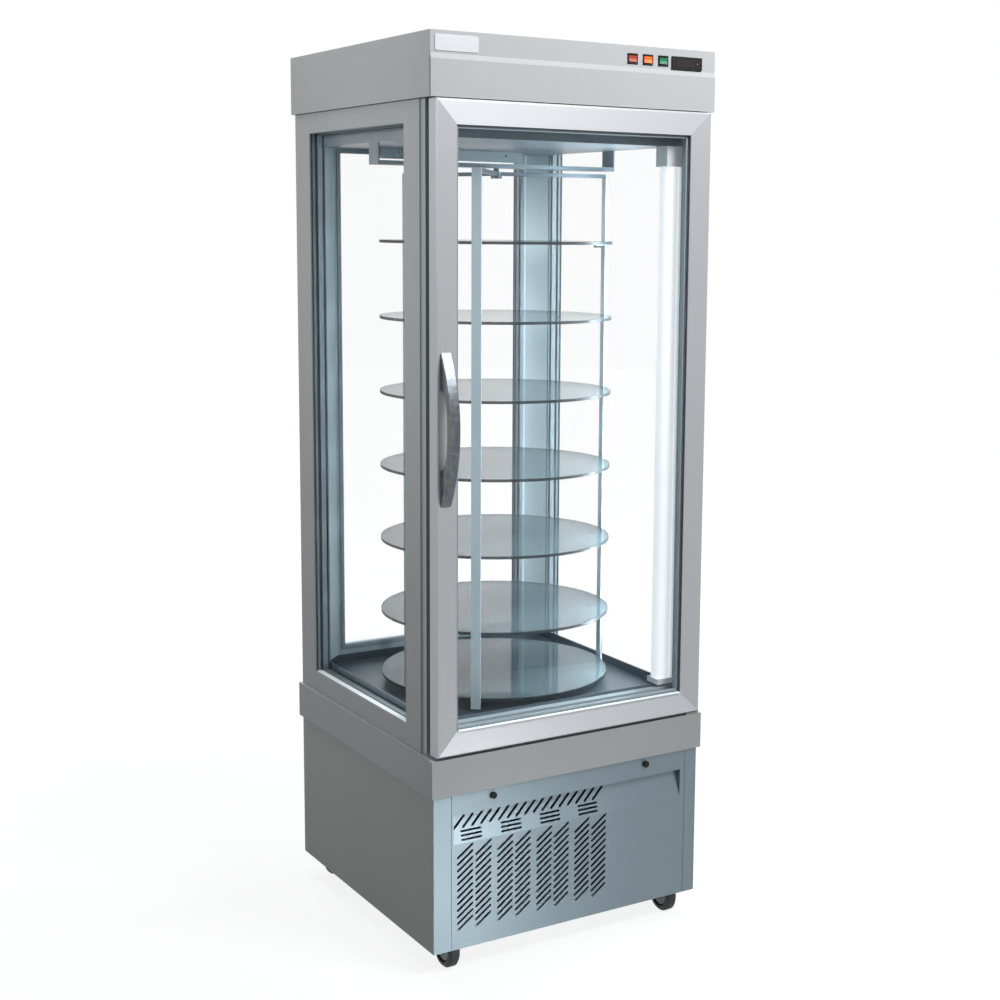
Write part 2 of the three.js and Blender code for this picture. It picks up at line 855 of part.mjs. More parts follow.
// Bow handle: a strap whose two feet follow the slope of the stile, drawn from the side as (y, z)
const handleX = doorLeft + handleSetIn;
const handleBase = doorBase + handleRise;
const handleTop = handleBase + handleLength;
const handleMiddle = (handleTop + handleBase) / 2;
const handleFace = doorFront - fit;
const handleSeat = handleFace + profileBevel;
const bow = new THREE.Shape();
const crown = handleFace - handleBulge;
const hollow = crown + handleStrap;
const footTop = handleTop - handleFoot;
const footBase = handleBase + handleFoot;
bow.moveTo(handleSeat, handleTop);
bow.lineTo(handleFace, handleTop);
bow.quadraticCurveTo(crown, footTop, crown, handleMiddle);
bow.quadraticCurveTo(crown, footBase, handleFace, handleBase);
bow.lineTo(handleSeat, handleBase);
bow.lineTo(handleSeat, footBase);
bow.lineTo(handleFace, footBase);
bow.quadraticCurveTo(hollow, footBase, hollow, handleMiddle);
bow.quadraticCurveTo(hollow, footTop, handleFace, footTop);
bow.lineTo(handleSeat, footTop);
const bowGeometry = new THREE.ExtrudeGeometry(bow, {
  depth: handleWidth - handleRound * 2,
  curveSegments: bowSteps,
  bevelThickness: handleRound,
  bevelSize: handleRound,
  bevelOffset: -handleRound,
  bevelSegments: bowEdgeSteps,
});
bowGeometry.translate(0, 0, handleX - handleWidth / 2 + handleRound);
bowGeometry.applyMatrix4(axes.x);
const stileFace = prism([
  [doorLeft, handleFace],
  [doorLeft + profileFlat, handleFace],
  [doorLeft + profileWidth, handleSeat],
  [doorLeft + profileWidth, handleSeat + overrun],
  [doorLeft, handleSeat + overrun],
], 'z', grown([handleBase, handleTop], overrun));
fix('door_handle', solid(bowGeometry).subtract(stileFace), 'bright', door);

// Rack: three upright bars carry six shelves; a spider above and one below turn them
const rack = new THREE.Group();
cabinet.add(rack);
const discRadius = Math.min(plugHalf, plugRear, -plugFront) - discSetBack;
const postRadius = discRadius + postGap;
const postFoot = trayTop + postFootRise;
const postTop = linerBase - postTopDrop;
const baseDiscZ = trayTop + baseDiscRise;
const firstShelfZ = baseDiscZ + firstShelfRise;
const shelfPitch = (postTop - topShelfDrop - firstShelfZ) / (shelfCount - 1);
const spiderArmBase = postTop - spiderArmThickness;
const spiderHubBase = postTop - spiderHubDrop;
const postTurns = Array.from({ length: postCount }, (_, index) => (
  radians(firstPostDegrees) + (index / postCount) * fullTurn
));
const shelfHeights = Array.from({ length: shelfCount }, (_, index) => firstShelfZ + index * shelfPitch);
const armEnd = postRadius - fit;

const disc = rod(discRadius, 'z', [0, discThickness], [0, 0], discSides);
fix('base_disc', disc, 'glass', rack).position.z = baseDiscZ;
shelfHeights.forEach((z, index) => {
  fix(`shelf_${index + 1}`, disc, 'glass', rack).position.z = z;
});

const post = union([
  block([postRadius, postRadius + postThickness], [-postWidth / 2, postWidth / 2], [postFoot, postTop]),
  ...shelfHeights.map((z) => block(
    [postRadius - lugLength, postRadius + postThickness / 2],
    [-lugWidth / 2, lugWidth / 2],
    [z - fit - lugThickness, z - fit],
  )),
]);
postTurns.forEach((turn, index) => {
  fix(`post_${index + 1}`, post, 'steel', rack).rotation.z = turn;
});

function arms(width, base, thickness) {
  return postTurns.map((turn) => {
    const geometry = new THREE.BoxGeometry(armEnd, width, thickness);
    geometry.translate(armEnd / 2, 0, base + thickness / 2);
    geometry.rotateZ(turn);
    return solid(geometry);
  });
}
fix('top_spider', union([
  rod(spiderHubRadius, 'z', [spiderHubBase, postTop], [0, 0]),
  rod(topPivotRadius, 'z', [spiderHubBase, barBase + topPivotReach], [0, 0]),
  ...arms(spiderArmWidth, spiderArmBase, spiderArmThickness),
]), 'steel', rack);
const lowerTop = baseDiscZ - fit;
fix('lower_spider', union([
  rod(lowerHubRadius, 'z', [trayTop + sheet, lowerTop], [0, 0]),
  rod(driveShaftRadius, 'z', [shaftFoot, lowerTop], [0, 0]),
  ...arms(postWidth, lowerTop - lowerArmThickness, lowerArmThickness),
]), 'steel', rack);

// Lower body: side sheets with returned edges, a vented back and a plate for the machine
const skirtSpan = [skirtBase, bandBase - fit];
const sheetInnerX = bodyX - sheet;
const sheetInnerY = bodyY - sheet;
[['left', -1, leftReturn], ['right', 1, rightReturn]].forEach(([name, side, inner]) => {
  fix(`${name}_side_panel`, prism([
    [side * inner, -bodyY],
    [side * bodyX, -bodyY],
    [side * bodyX, bodyY],
    [side * rearReturn, bodyY],
    [side * rearReturn, sheetInnerY],
    [side * sheetInnerX, sheetInnerY],
    [side * sheetInnerX, -sheetInnerY],
    [side * inner, -sheetInnerY],
  ], 'z', skirtSpan), 'greyPaint');
});

const rearSlotBase = skirtBase + rearSlotRise;
const rearSlotReach = bandBase - rearSlotTopMargin - rearSlotBase;
const rearSlotRows = Math.floor(rearSlotReach / rearSlotPitchZ) + 1;
const rearSlots = Array.from({ length: rearSlotColumns * rearSlotRows }, (_, index) => {
  const x = ((index % rearSlotColumns) - (rearSlotColumns - 1) / 2) * rearSlotPitchX;
  const z = rearSlotBase + Math.floor(index / rearSlotColumns) * rearSlotPitchZ;
  return block(
    [x - rearSlotLength / 2, x + rearSlotLength / 2],
    grown([sheetInnerY, bodyY], overrun),
    [z - rearSlotWidth / 2, z + rearSlotWidth / 2],
  );
});
fix('rear_panel', drilled(
  block([-rearReturn + fit, rearReturn - fit], [sheetInnerY, bodyY], skirtSpan),
  rearSlots,
), 'greyPaint');

const plateFront = -bodyY + plateSetBack;
const plateRear = sheetInnerY - fit;
const casterX = bodyX - casterSideInset;
const casterY = bodyY - casterEndInset;
const plateTop = plateZ + sheet;
const flangeFoot = plateZ - plateFlange;
const casterCorners = [
  ['front_left', -1, -1],
  ['front_right', 1, -1],
  ['rear_left', -1, 1],
  ['rear_right', 1, 1],
];
fix('base_plate', drilled(
  prism([
    [plateFront, flangeFoot],
    [plateFront + sheet, flangeFoot],
    [plateFront + sheet, plateZ],
    [plateRear - sheet, plateZ],
    [plateRear - sheet, flangeFoot],
    [plateRear, flangeFoot],
    [plateRear, plateTop],
    [plateFront, plateTop],
  ], 'x', [-sheetInnerX + fit, sheetInnerX - fit]),
  casterCorners.map(([, sideX, sideY]) => rod(
    forkStemRadius + fit,
    'z',
    grown([plateZ, plateTop], overrun),
    [sideX * casterX, sideY * casterY],
  )),
), 'zinc');

// Grille panel: a flat sheet with a sloping recess, pierced by slanted slots and level slits
const recessTop = panelTop - recessTopDrop;
const ridgeZ = recessTop - recessHeight;
const ridgeFoot = ridgeZ - sheet;
const slopeFront = [[-bodyY, ridgeFoot], [-bodyY, ridgeZ], [-bodyY + recessDepth, recessTop]];
const slopeBack = [
  [-bodyY, recessTop + sheet],
  [-bodyY + recessDepth + sheet, recessTop + sheet],
  [-sheetInnerY, ridgeZ],
  [-sheetInnerY, ridgeFoot],
];
const panelX = [-leftReturn + panelGap, rightReturn - panelGap];
const recessFrom = panelX[0] + recessLeftMargin;
const recessTo = panelX[1] - recessRightMargin;
const recessX = [recessFrom, recessTo];
const panelCut = [-bodyY - overrun, -bodyY + recessDepth + sheet + overrun];

// A narrow slot with tapered ends, from its middle and what it runs across and up
function slot([x, z], run, rise, width) {
  const reach = Math.hypot(run, rise);
  const along = new THREE.Vector2(run / reach, rise / reach);
  const across = new THREE.Vector2(-along.y, along.x);
  const corner = (forward, sideways) => [
    x + along.x * forward + across.x * sideways,
    z + along.y * forward + across.y * sideways,
  ];
  const shoulder = (reach - width) / 2;
  return prism([
    corner(-reach / 2, 0),
    corner(-shoulder, -width / 2),
    corner(shoulder, -width / 2),
    corner(reach / 2, 0),
    corner(shoulder, width / 2),
    corner(-shoulder, width / 2),
  ], 'y', panelCut);
}

const columnFirst = -leftReturn + columnSetIn;
const columnTopZ = ridgeZ - columnDrop;
const columnReach = columnTopZ - skirtBase - columnFootMargin;
const columnRows = Math.floor(columnReach / columnRowPitch) + 1;
const slitFirst = -leftReturn + slitSetIn;
const slitTopZ = recessTop - slitDrop;
const upperSlotFirst = -leftReturn + upperSlotSetIn;
const upperSlotZ = recessTop - upperSlotDrop;
const grilleSlots = [];
for (let pair = 0; pair < columnPairs; pair += 1) {
  for (let row = 0; row < columnRows; row += 1) {
    [0, columnStep].forEach((step) => grilleSlots.push(slot(
      [columnFirst + pair * columnPairStep + step, columnTopZ - row * columnRowPitch],
      slotRun,
      slotRise,
      slotWidth,
    )));
  }
  for (let row = 0; row < slitRows; row += 1) {
    grilleSlots.push(slot(
      [slitFirst + pair * columnPairStep, slitTopZ - row * slitPitch],
      slitLength,
      0,
      slitWidth,
    ));
  }
}
for (let index = 0; index < upperSlotCount; index += 1) {
  grilleSlots.push(slot(
    [upperSlotFirst + index * upperSlotPitch, upperSlotZ],
    upperSlotRun,
    upperSlotRise,
    upperSlotWidth,
  ));
}

const grille = new THREE.Group();
cabinet.add(grille);
fix('grille_panel', drilled(
  union([
    block(
      panelX,
      [-bodyY, -sheetInnerY],
      [skirtBase, panelTop],
    ).subtract(block(recessX, panelCut, [ridgeZ, recessTop])),
    prism([...slopeFront, [-bodyY, recessTop], ...slopeBack], 'x', recessX),
    ...[[recessFrom, recessFrom + sheet], [recessTo - sheet, recessTo]].map((cheek) => prism(
      [slopeFront[0], ...slopeBack],
      'x',
      cheek,
    )),
  ]),
  [
    ...grilleSlots,
    ...[-screwX, screwX].map((x) => rod(screwHole, 'y', panelCut, [x, screwZ])),
  ],
), 'steel', grille);

const knobBack = -bodyY - fit;
[['left', -screwX], ['right', screwX]].forEach(([name, x]) => {
  fix(`thumb_screw_${name}`, union([
    rod(screwKnobRadius, 'y', [knobBack - screwKnobLength, knobBack], [x, screwZ]),
    rod(screwShankRadius, 'y', [knobBack - screwKnobLength / 2, knobBack + screwShankLength], [x, screwZ]),
  ]), 'black', grille);
});

// Compressor: a domed pot on a foot plate
const machineFoot = plateTop + fit;
const compressorX = bodyX - compressorSideGap;
const compressorY = bodyY - compressorRearGap;
const compressorFoot = compressorRadius + compressorFootMargin;
const potWall = compressorHeight - compressorShoulder;
const potProfile = [new THREE.Vector2(0, 0), new THREE.Vector2(compressorRadius, 0)];
for (let step = 0; step < domeSteps; step += 1) {
  const angle = (step / domeSteps) * Math.PI / 2;
  potProfile.push(new THREE.Vector2(
    compressorRadius * Math.cos(angle),
    potWall + compressorShoulder * Math.sin(angle),
  ));
}
potProfile.push(new THREE.Vector2(0, compressorHeight));
const pot = new THREE.LatheGeometry(potProfile, potSides);
pot.rotateX(Math.PI / 2);
pot.translate(compressorX, compressorY, machineFoot);
fix('compressor', solid(pot).add(block(
  [compressorX - compressorFoot, compressorX + compressorFoot],
  [compressorY - compressorFoot, compressorY + compressorFoot],
  [machineFoot, machineFoot + footThickness],
)), 'black');

// Condenser: a finned core, its air box with a round outlet, and the fan motor on a cross bar
const condenserFrom = -bodyX + condenserSideGap;
const condenserTo = condenserFrom + condenserWidth;
const condenserFront = -bodyY + condenserSetBack;
const condenserHeight = bandBase - condenserHeadroom - machineFoot;
const fanRadius = Math.min(condenserWidth, condenserHeight) / 2 - fanMargin;
const condenserX = [condenserFrom, condenserTo];
const condenserZ = [machineFoot, machineFoot + condenserHeight];
const fanX = (condenserFrom + condenserTo) / 2;
const fanZ = machineFoot + condenserHeight / 2;
const coreBack = condenserFront + condenserCore;
const shroudBack = coreBack + shroudDepth;
const outletFront = shroudBack - shroudPlate;
const motorFront = shroudBack + fit;
const fins = Array.from({ length: finCount }, (_, index) => {
  const x = fanX + (index - (finCount - 1) / 2) * finPitch;
  return block(
    [x - finGap / 2, x + finGap / 2],
    [condenserFront - overrun, coreBack + fit],
    grown(condenserZ, -finMargin),
  );
});
fix('condenser', union([
  drilled(block(condenserX, [condenserFront, shroudBack], condenserZ), [
    ...fins,
    block(grown(condenserX, -shroudWall), [coreBack, outletFront], grown(condenserZ, -shroudWall)),
    rod(fanRadius + fanClearance, 'y', [coreBack, shroudBack + overrun], [fanX, fanZ], potSides),
  ]),
  block(grown(condenserX, -finMargin), [shroudBack - fit, shroudBack + barThickness], [
    fanZ - strutWidth / 2,
    fanZ + strutWidth / 2,
  ]),
  rod(fanMotorRadius, 'y', [motorFront, motorFront + fanMotorDepth], [fanX, fanZ]),
  rod(fanShaftRadius, 'y', [shroudBack - fanHubDepth, motorFront + barThickness], [fanX, fanZ]),
]), 'black');

const fanBack = shroudBack - fanSetIn;
const fanMiddle = fanBack - fanHubDepth / 2;
const blades = Array.from({ length: fanBladeCount }, (_, index) => {
  const blade = new THREE.BoxGeometry(fanRadius - fanHubRadius / 2, fanBladeThickness, fanBladeChord);
  blade.rotateX(radians(fanBladePitchDegrees));
  blade.translate((fanRadius + fanHubRadius / 2) / 2, 0, 0);
  blade.rotateY((index / fanBladeCount) * fullTurn);
  blade.translate(fanX, fanMiddle, fanZ);
  return solid(blade);
});
fix('condenser_fan', drilled(
  union([rod(fanHubRadius, 'y', [fanBack - fanHubDepth, fanBack], [fanX, fanZ]), ...blades]),
  [rod(fanShaftRadius + fit, 'y', grown([fanBack - fanHubDepth, fanBack], overrun), [fanX, fanZ])],
), 'zinc');

// Casters: a swivelling fork on a stem through the plate, and a tyred wheel on its axle
const wheelCentre = wheelRadius * Math.cos(Math.PI / wheelSides);
const wheelHalf = wheelWidth / 2;
const wheelWeb = wheelHalf - wheelRecess;
const wheelProfile = [
  [axleRadius + fit, -wheelHalf],
  [wheelHubRadius, -wheelHalf],
  [wheelHubRadius, -wheelWeb],
  [wheelRimRadius, -wheelWeb],
  [wheelRimRadius, -wheelHalf],
  [wheelRadius - wheelShoulder, -wheelHalf],
  [wheelRadius, -wheelHalf + wheelShoulder],
  [wheelRadius, wheelHalf - wheelShoulder],
  [wheelRadius - wheelShoulder, wheelHalf],
  [wheelRimRadius, wheelHalf],
  [wheelRimRadius, wheelWeb],
  [wheelHubRadius, wheelWeb],
  [wheelHubRadius, wheelHalf],
  [axleRadius + fit, wheelHalf],
  [axleRadius + fit, -wheelHalf],
].map(([radius, height]) => new THREE.Vector2(radius, height));
const wheelGeometry = new THREE.LatheGeometry(wheelProfile, wheelSides, Math.PI / wheelSides);
wheelGeometry.rotateZ(Math.PI / 2);
const wheel = solid(wheelGeometry);

const legInner = wheelHalf + wheelClearance;
const legOuter = legInner + forkLeg;
const forkTop = plateZ - fit;
const crownBase = forkTop - forkPlateThickness;
const legOutline = [
  [forkLegHalf, crownBase],
  [-forkLegHalf, crownBase],
  [-casterTrail - axleBoss, wheelCentre],
  [-casterTrail, wheelCentre - axleBoss],
  [-casterTrail + axleBoss, wheelCentre],
];
const fork = union([
  rod(forkPlateRadius, 'z', [crownBase, forkTop], [0, 0], wheelSides),
  rod(forkStemRadius, 'z', [crownBase, forkTop + forkStemReach], [0, 0]),
  block([-legOuter, legOuter], [-forkLegHalf, forkLegHalf], [crownBase - sheet, crownBase + sheet]),
  prism(legOutline, 'x', [legInner, legOuter]),
  prism(legOutline, 'x', [-legOuter, -legInner]),
  rod(axleRadius, 'x', [-legOuter, legOuter], [-casterTrail, wheelCentre]),
]);
casterCorners.forEach(([name, sideX, sideY]) => {
  const caster = new THREE.Group();
  caster.position.set(sideX * casterX, sideY * casterY, 0);
  caster.rotation.z = sideY > 0 ? Math.PI : 0;
  cabinet.add(caster);
  fix(`caster_fork_${name}`, fork, 'zinc', caster);
  fix(`wheel_${name}`, wheel, 'black', caster).position.set(0, -casterTrail, wheelCentre);
});

// The handle stands out in front, so the cabinet sits back by half of that
const display = new THREE.Group();
display.name = 'display_cabinet';
display.add(cabinet);
cabinet.position.y = -(crown + halfDepth) / 2;

export default display;
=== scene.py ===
import math

import bmesh
import bpy
from mathutils import Matrix, Vector


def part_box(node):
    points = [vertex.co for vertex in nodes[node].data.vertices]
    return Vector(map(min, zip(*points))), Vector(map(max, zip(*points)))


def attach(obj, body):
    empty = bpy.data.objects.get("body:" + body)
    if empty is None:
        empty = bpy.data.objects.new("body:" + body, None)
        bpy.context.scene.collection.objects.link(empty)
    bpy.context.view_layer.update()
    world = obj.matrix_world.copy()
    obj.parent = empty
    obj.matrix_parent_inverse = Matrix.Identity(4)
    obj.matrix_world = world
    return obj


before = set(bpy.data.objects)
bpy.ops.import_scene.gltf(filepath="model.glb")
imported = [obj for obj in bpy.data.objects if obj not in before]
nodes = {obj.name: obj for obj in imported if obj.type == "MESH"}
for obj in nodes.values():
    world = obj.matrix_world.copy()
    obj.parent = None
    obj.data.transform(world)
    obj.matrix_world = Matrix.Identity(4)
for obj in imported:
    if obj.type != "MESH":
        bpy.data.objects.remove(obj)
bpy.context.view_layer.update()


# Canopy, fascia, base band and back panel: folded sheet steel with a silver-grey satin powder
# coat. Canopy and band are the welded boxes that the windows stand between; the fascia, which
# closes the canopy, and the back panel of the machine space are screwed on.
def linear(text):
    """A colour written as sRGB hex, turned linear, with full alpha."""
    levels = [int(text[at:at + 2], 16) / 255 for at in (1, 3, 5)]
    return [v / 12.92 if v <= 0.04045 else ((v + 0.055) / 1.055) ** 2.4 for v in levels] + [1.0]


def node(tree, kind, inputs=None, **settings):
    """Adds a node with its settings, and sets or links its inputs."""
    made = tree.nodes.new(kind)
    for name, value in settings.items():
        setattr(made, name, value)
    for name, value in (inputs or {}).items():
        if isinstance(value, bpy.types.NodeSocket):
            tree.links.new(value, made.inputs[name])
        else:
            made.inputs[name].default_value = value
    return made


def blank(name):
    """An empty node material and its tree."""
    made = bpy.data.materials.new(name)
    made.use_nodes = True
    made.node_tree.nodes.clear()
    return made, made.node_tree


def finish_with(material, *names):
    """Gives CAD nodes a material."""
    for name in names:
        data = nodes[name].data
        data.materials.clear()
        data.materials.append(material)


# Powder coat, sprayed and baked: light silver grey with a faint orange-peel grain about 1.5 mm
# across, so that light falls softly on it and no sharp reflection stands in it.
powder_coat, tree = blank("silver_grey_powder_coat")
place = node(tree, "ShaderNodeTexCoord")
cloud = node(tree, "ShaderNodeTexNoise", {
    "Vector": place.outputs["Object"], "Scale": 3.0, "Detail": 2.0,
})
mix = node(tree, "ShaderNodeMixRGB", {
    "Fac": cloud.outputs["Fac"], "Color1": linear("#b4b8ba"), "Color2": linear("#bdc0c2"),
})
peel = node(tree, "ShaderNodeTexNoise", {
    "Vector": place.outputs["Object"], "Scale": 650.0, "Detail": 2.0,
})
rough = node(tree, "ShaderNodeMapRange", {
    "Value": peel.outputs["Fac"], "To Min": 0.38, "To Max": 0.5,
})
grain = node(tree, "ShaderNodeBump", {
    "Height": peel.outputs["Fac"], "Strength": 0.12, "Distance": 0.0004,
})
skin = node(tree, "ShaderNodeBsdfPrincipled", {
    "Base Color": mix.outputs["Color"], "Roughness": rough.outputs["Result"],
    "Normal": grain.outputs["Normal"], "Specular IOR Level": 0.25,
})
node(tree, "ShaderNodeOutputMaterial", {"Surface": skin.outputs["BSDF"]})
finish_with(powder_coat, "canopy_shell", "front_fascia", "base_band", "rear_panel")

# Window frames: welded steel columns and rails with the same coat outside. Behind the outer skin
# they are clad with clipped-on covers of pale blue-grey plastic, wiped smooth. The covers' colour
# is painted paler still, as painted light that stands for the cool light of the tube on them.
coated_depth = 0.004
for side, axis, skin_face in (
    ("left", "X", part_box("left_window_frame")[0].x + coated_depth),
    ("right", "X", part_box("right_window_frame")[1].x - coated_depth),
    ("rear", "Y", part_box("rear_window_frame")[1].y - coated_depth),
):
    framed, tree = blank(f"{side}_frame_coat_and_painted_light_cover")
    place = node(tree, "ShaderNodeTexCoord")
    peel = node(tree, "ShaderNodeTexNoise", {
        "Vector": place.outputs["Object"], "Scale": 650.0, "Detail": 2.0,
    })
    cloud = node(tree, "ShaderNodeTexNoise", {"Vector": place.outputs["Object"], "Scale": 3.0})
    grain = node(tree, "ShaderNodeBump", {
        "Height": peel.outputs["Fac"], "Strength": 0.12, "Distance": 0.0004,
    })
    outer = node(tree, "ShaderNodeMixRGB", {
        "Fac": cloud.outputs["Fac"], "Color1": linear("#b4b8ba"), "Color2": linear("#bdc0c2"),
    })
    coat = node(tree, "ShaderNodeBsdfPrincipled", {
        "Base Color": outer.outputs["Color"], "Roughness": 0.45, "Normal": grain.outputs["Normal"],
        "Specular IOR Level": 0.25,
    })
    # Inner faces: pale cover colour with painted light from the tube in it.
    inner = node(tree, "ShaderNodeMixRGB", {
        "Fac": cloud.outputs["Fac"], "Color1": linear("#c3d3da"), "Color2": linear("#cedbe1"),
    })
    cover = node(tree, "ShaderNodeBsdfPrincipled", {
        "Base Color": inner.outputs["Color"], "Roughness": 0.35,
    })
    apart = node(tree, "ShaderNodeSeparateXYZ", {"Vector": place.outputs["Object"]})
    outside = node(tree, "ShaderNodeMath", {
        0: apart.outputs[axis], 1: skin_face,
    }, operation="LESS_THAN" if side == "left" else "GREATER_THAN")
    face = node(tree, "ShaderNodeMixShader", {
        0: outside.outputs[0], 1: cover.outputs["BSDF"], 2: coat.outputs["BSDF"],
    })
    node(tree, "ShaderNodeOutputMaterial", {"Surface": face.outputs[0]})
    finish_with(framed, f"{side}_window_frame")

# Ceiling pan and evaporator cover: coated liner sheet, screwed up under the canopy and wiped
# smooth. The pan is a mid blue-grey, clouded by condensation marks; the cover is paler.
for name, piece, dark, light in (
    ("clouded_liner_coat", "ceiling_panel", "#7f8d96", "#98a5ad"),
    ("pale_liner_coat", "evaporator_cover", "#b3c2c9", "#bfccd2"),
):
    liner, tree = blank(name)
    place = node(tree, "ShaderNodeTexCoord")
    cloud = node(tree, "ShaderNodeTexNoise", {
        "Vector": place.outputs["Object"], "Scale": 9.0, "Detail": 4.0,
    })
    mix = node(tree, "ShaderNodeMixRGB", {
        "Fac": cloud.outputs["Fac"], "Color1": linear(dark), "Color2": linear(light),
    })
    rough = node(tree, "ShaderNodeMapRange", {
        "Value": cloud.outputs["Fac"], "To Min": 0.3, "To Max": 0.42,
    })
    skin = node(tree, "ShaderNodeBsdfPrincipled", {
        "Base Color": mix.outputs["Color"], "Roughness": rough.outputs["Result"],
    })
    node(tree, "ShaderNodeOutputMaterial", {"Surface": skin.outputs["BSDF"]})
    finish_with(liner, piece)

# Floor tray and spiders: stainless sheet and bar, the tray laid on the insulated floor and the
# spiders welded to their shafts. The metal is satin ground, with lines about a millimetre apart
# that blur what it reflects.
satin_steel, tree = blank("satin_stainless_steel")
place = node(tree, "ShaderNodeTexCoord")
drawn = node(tree, "ShaderNodeMapping", {
    "Vector": place.outputs["Object"], "Scale": (4.0, 900.0, 4.0),
})
lines = node(tree, "ShaderNodeTexNoise", {
    "Vector": drawn.outputs["Vector"], "Scale": 1.0, "Detail": 3.0,
})
rough = node(tree, "ShaderNodeMapRange", {
    "Value": lines.outputs["Fac"], "To Min": 0.28, "To Max": 0.42,
})
mix = node(tree, "ShaderNodeMixRGB", {
    "Fac": lines.outputs["Fac"], "Color1": linear("#5b6973"), "Color2": linear("#6b7881"),
})
skin = node(tree, "ShaderNodeBsdfPrincipled", {
    "Base Color": mix.outputs["Color"], "Roughness": rough.outputs["Result"], "Metallic": 0.7,
})
node(tree, "ShaderNodeOutputMaterial", {"Surface": skin.outputs["BSDF"]})
finish_with(satin_steel, "floor_tray", "top_spider", "lower_spider")

# Posts: three flat bars of extruded aluminium, satin anodised a pale blue-grey and screwed to the
# arms of both spiders. Fine upright die lines soften the light on them.
pale_bar, tree = blank("pale_anodised_bar")
place = node(tree, "ShaderNodeTexCoord")
drawn = node(tree, "ShaderNodeMapping", {
    "Vector": place.outputs["Object"], "Scale": (800.0, 800.0, 6.0),
})
lines = node(tree, "ShaderNodeTexNoise", {"Vector": drawn.outputs["Vector"], "Scale": 1.0})
mix = node(tree, "ShaderNodeMixRGB", {
    "Fac": lines.outputs["Fac"], "Color1": linear("#c6d6dd"), "Color2": linear("#d5e2e8"),
})
skin = node(tree, "ShaderNodeBsdfPrincipled", {
    "Base Color": mix.outputs["Color"], "Roughness": 0.4, "Metallic": 0.3,
})
node(tree, "ShaderNodeOutputMaterial", {"Surface": skin.outputs["BSDF"]})
finish_with(pale_bar, "post_1", "post_2", "post_3")

# Machine front: the grille panel and the front returns of the side panels are rolled steel with a
# smooth blue-grey metallic coat. The rolling grain runs from side to side, so a lamp in front
# draws an upright sheen that fades across the panel. Outside, the side panels are powder coated.
facing_front = -0.5
for name, panels in (
    ("blue_grey_rolled_steel", ("grille_panel",)),
    ("powder_coat_with_steel_return", ("left_side_panel", "right_side_panel")),
):
    sheet, tree = blank(name)
    place = node(tree, "ShaderNodeTexCoord")
    peel = node(tree, "ShaderNodeTexNoise", {
        "Vector": place.outputs["Object"], "Scale": 500.0, "Detail": 2.0,
    })
    cloud = node(tree, "ShaderNodeTexNoise", {"Vector": place.outputs["Object"], "Scale": 5.0})
    mix = node(tree, "ShaderNodeMixRGB", {
        "Fac": cloud.outputs["Fac"], "Color1": linear("#74838c"), "Color2": linear("#7d8c93"),
    })
    grain = node(tree, "ShaderNodeBump", {
        "Height": peel.outputs["Fac"], "Strength": 0.08, "Distance": 0.0003,
    })
    tangent = node(tree, "ShaderNodeVectorTransform", {
        "Vector": (0.0, 0.0, 1.0),
    }, vector_type="VECTOR", convert_from="OBJECT", convert_to="WORLD")
    steel = node(tree, "ShaderNodeBsdfPrincipled", {
        "Base Color": mix.outputs["Color"], "Roughness": 0.38, "Metallic": 0.8,
        "Anisotropic": 0.9, "Tangent": tangent.outputs["Vector"], "Normal": grain.outputs["Normal"],
    })
    face = steel
    if panels[0] != "grille_panel":
        coat = node(tree, "ShaderNodeMixRGB", {
            "Fac": cloud.outputs["Fac"], "Color1": linear("#b4b6b6"), "Color2": linear("#bcbebe"),
        })
        paint = node(tree, "ShaderNodeBsdfPrincipled", {
            "Base Color": coat.outputs["Color"], "Roughness": 0.45, "Specular IOR Level": 0.25,
            "Normal": grain.outputs["Normal"],
        })
        aside = node(tree, "ShaderNodeSeparateXYZ", {"Vector": place.outputs["Normal"]})
        fronted = node(tree, "ShaderNodeMath", {
            0: aside.outputs["Y"], 1: facing_front,
        }, operation="LESS_THAN")
        face = node(tree, "ShaderNodeMixShader", {
            0: fronted.outputs[0], 1: paint.outputs["BSDF"], 2: steel.outputs["BSDF"],
        })
    node(tree, "ShaderNodeOutputMaterial", {"Surface": face.outputs[0]})
    finish_with(sheet, *panels)

# Panes: clear toughened float glass in sealed pairs. Each face keeps a little tint and a sharp
# reflection, so the room behind shows through four faces of it.
pane_glass, tree = blank("clear_float_glass")
place = node(tree, "ShaderNodeTexCoord")
cloud = node(tree, "ShaderNodeTexNoise", {"Vector": place.outputs["Object"], "Scale": 2.0})
haze = node(tree, "ShaderNodeMapRange", {
    "Value": cloud.outputs["Fac"], "To Min": 0.006, "To Max": 0.012,
})
skin = node(tree, "ShaderNodeBsdfPrincipled", {
    "Base Color": linear("#c3d2d8"), "Roughness": 0.04, "Alpha": haze.outputs["Result"],
})
node(tree, "ShaderNodeOutputMaterial", {"Surface": skin.outputs["BSDF"]})
finish_with(pane_glass, "left_glazing", "right_glazing", "rear_glazing", "door_glass")

# Shelves: round discs of 6 mm glass, carried by the three bars and turning with them. The glass
# is green-grey in its thickness, so a face looks milky and the ground edge, the last millimetre of
# the radius, looks dark.
shelf_count = 6
body_depth = 0.66
axis_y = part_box("canopy_shell")[1].y - body_depth / 2
edge_start, edge_end = 0.2495, 0.2502
disc_glass, tree = blank("round_shelf_glass")
place = node(tree, "ShaderNodeTexCoord")
centred = node(tree, "ShaderNodeMapping", {
    "Vector": place.outputs["Object"], "Location": (0.0, -axis_y, 0.0), "Scale": (1.0, 1.0, 0.0),
})
reach = node(tree, "ShaderNodeVectorMath", {0: centred.outputs["Vector"]}, operation="LENGTH")
edge = node(tree, "ShaderNodeMapRange", {
    "Value": reach.outputs["Value"], "From Min": edge_start, "From Max": edge_end,
})
glance = node(tree, "ShaderNodeLayerWeight", {"Blend": 0.3})
face_alpha = node(tree, "ShaderNodeMapRange", {
    "Value": glance.outputs["Facing"], "To Min": 0.66, "To Max": 0.75,
})
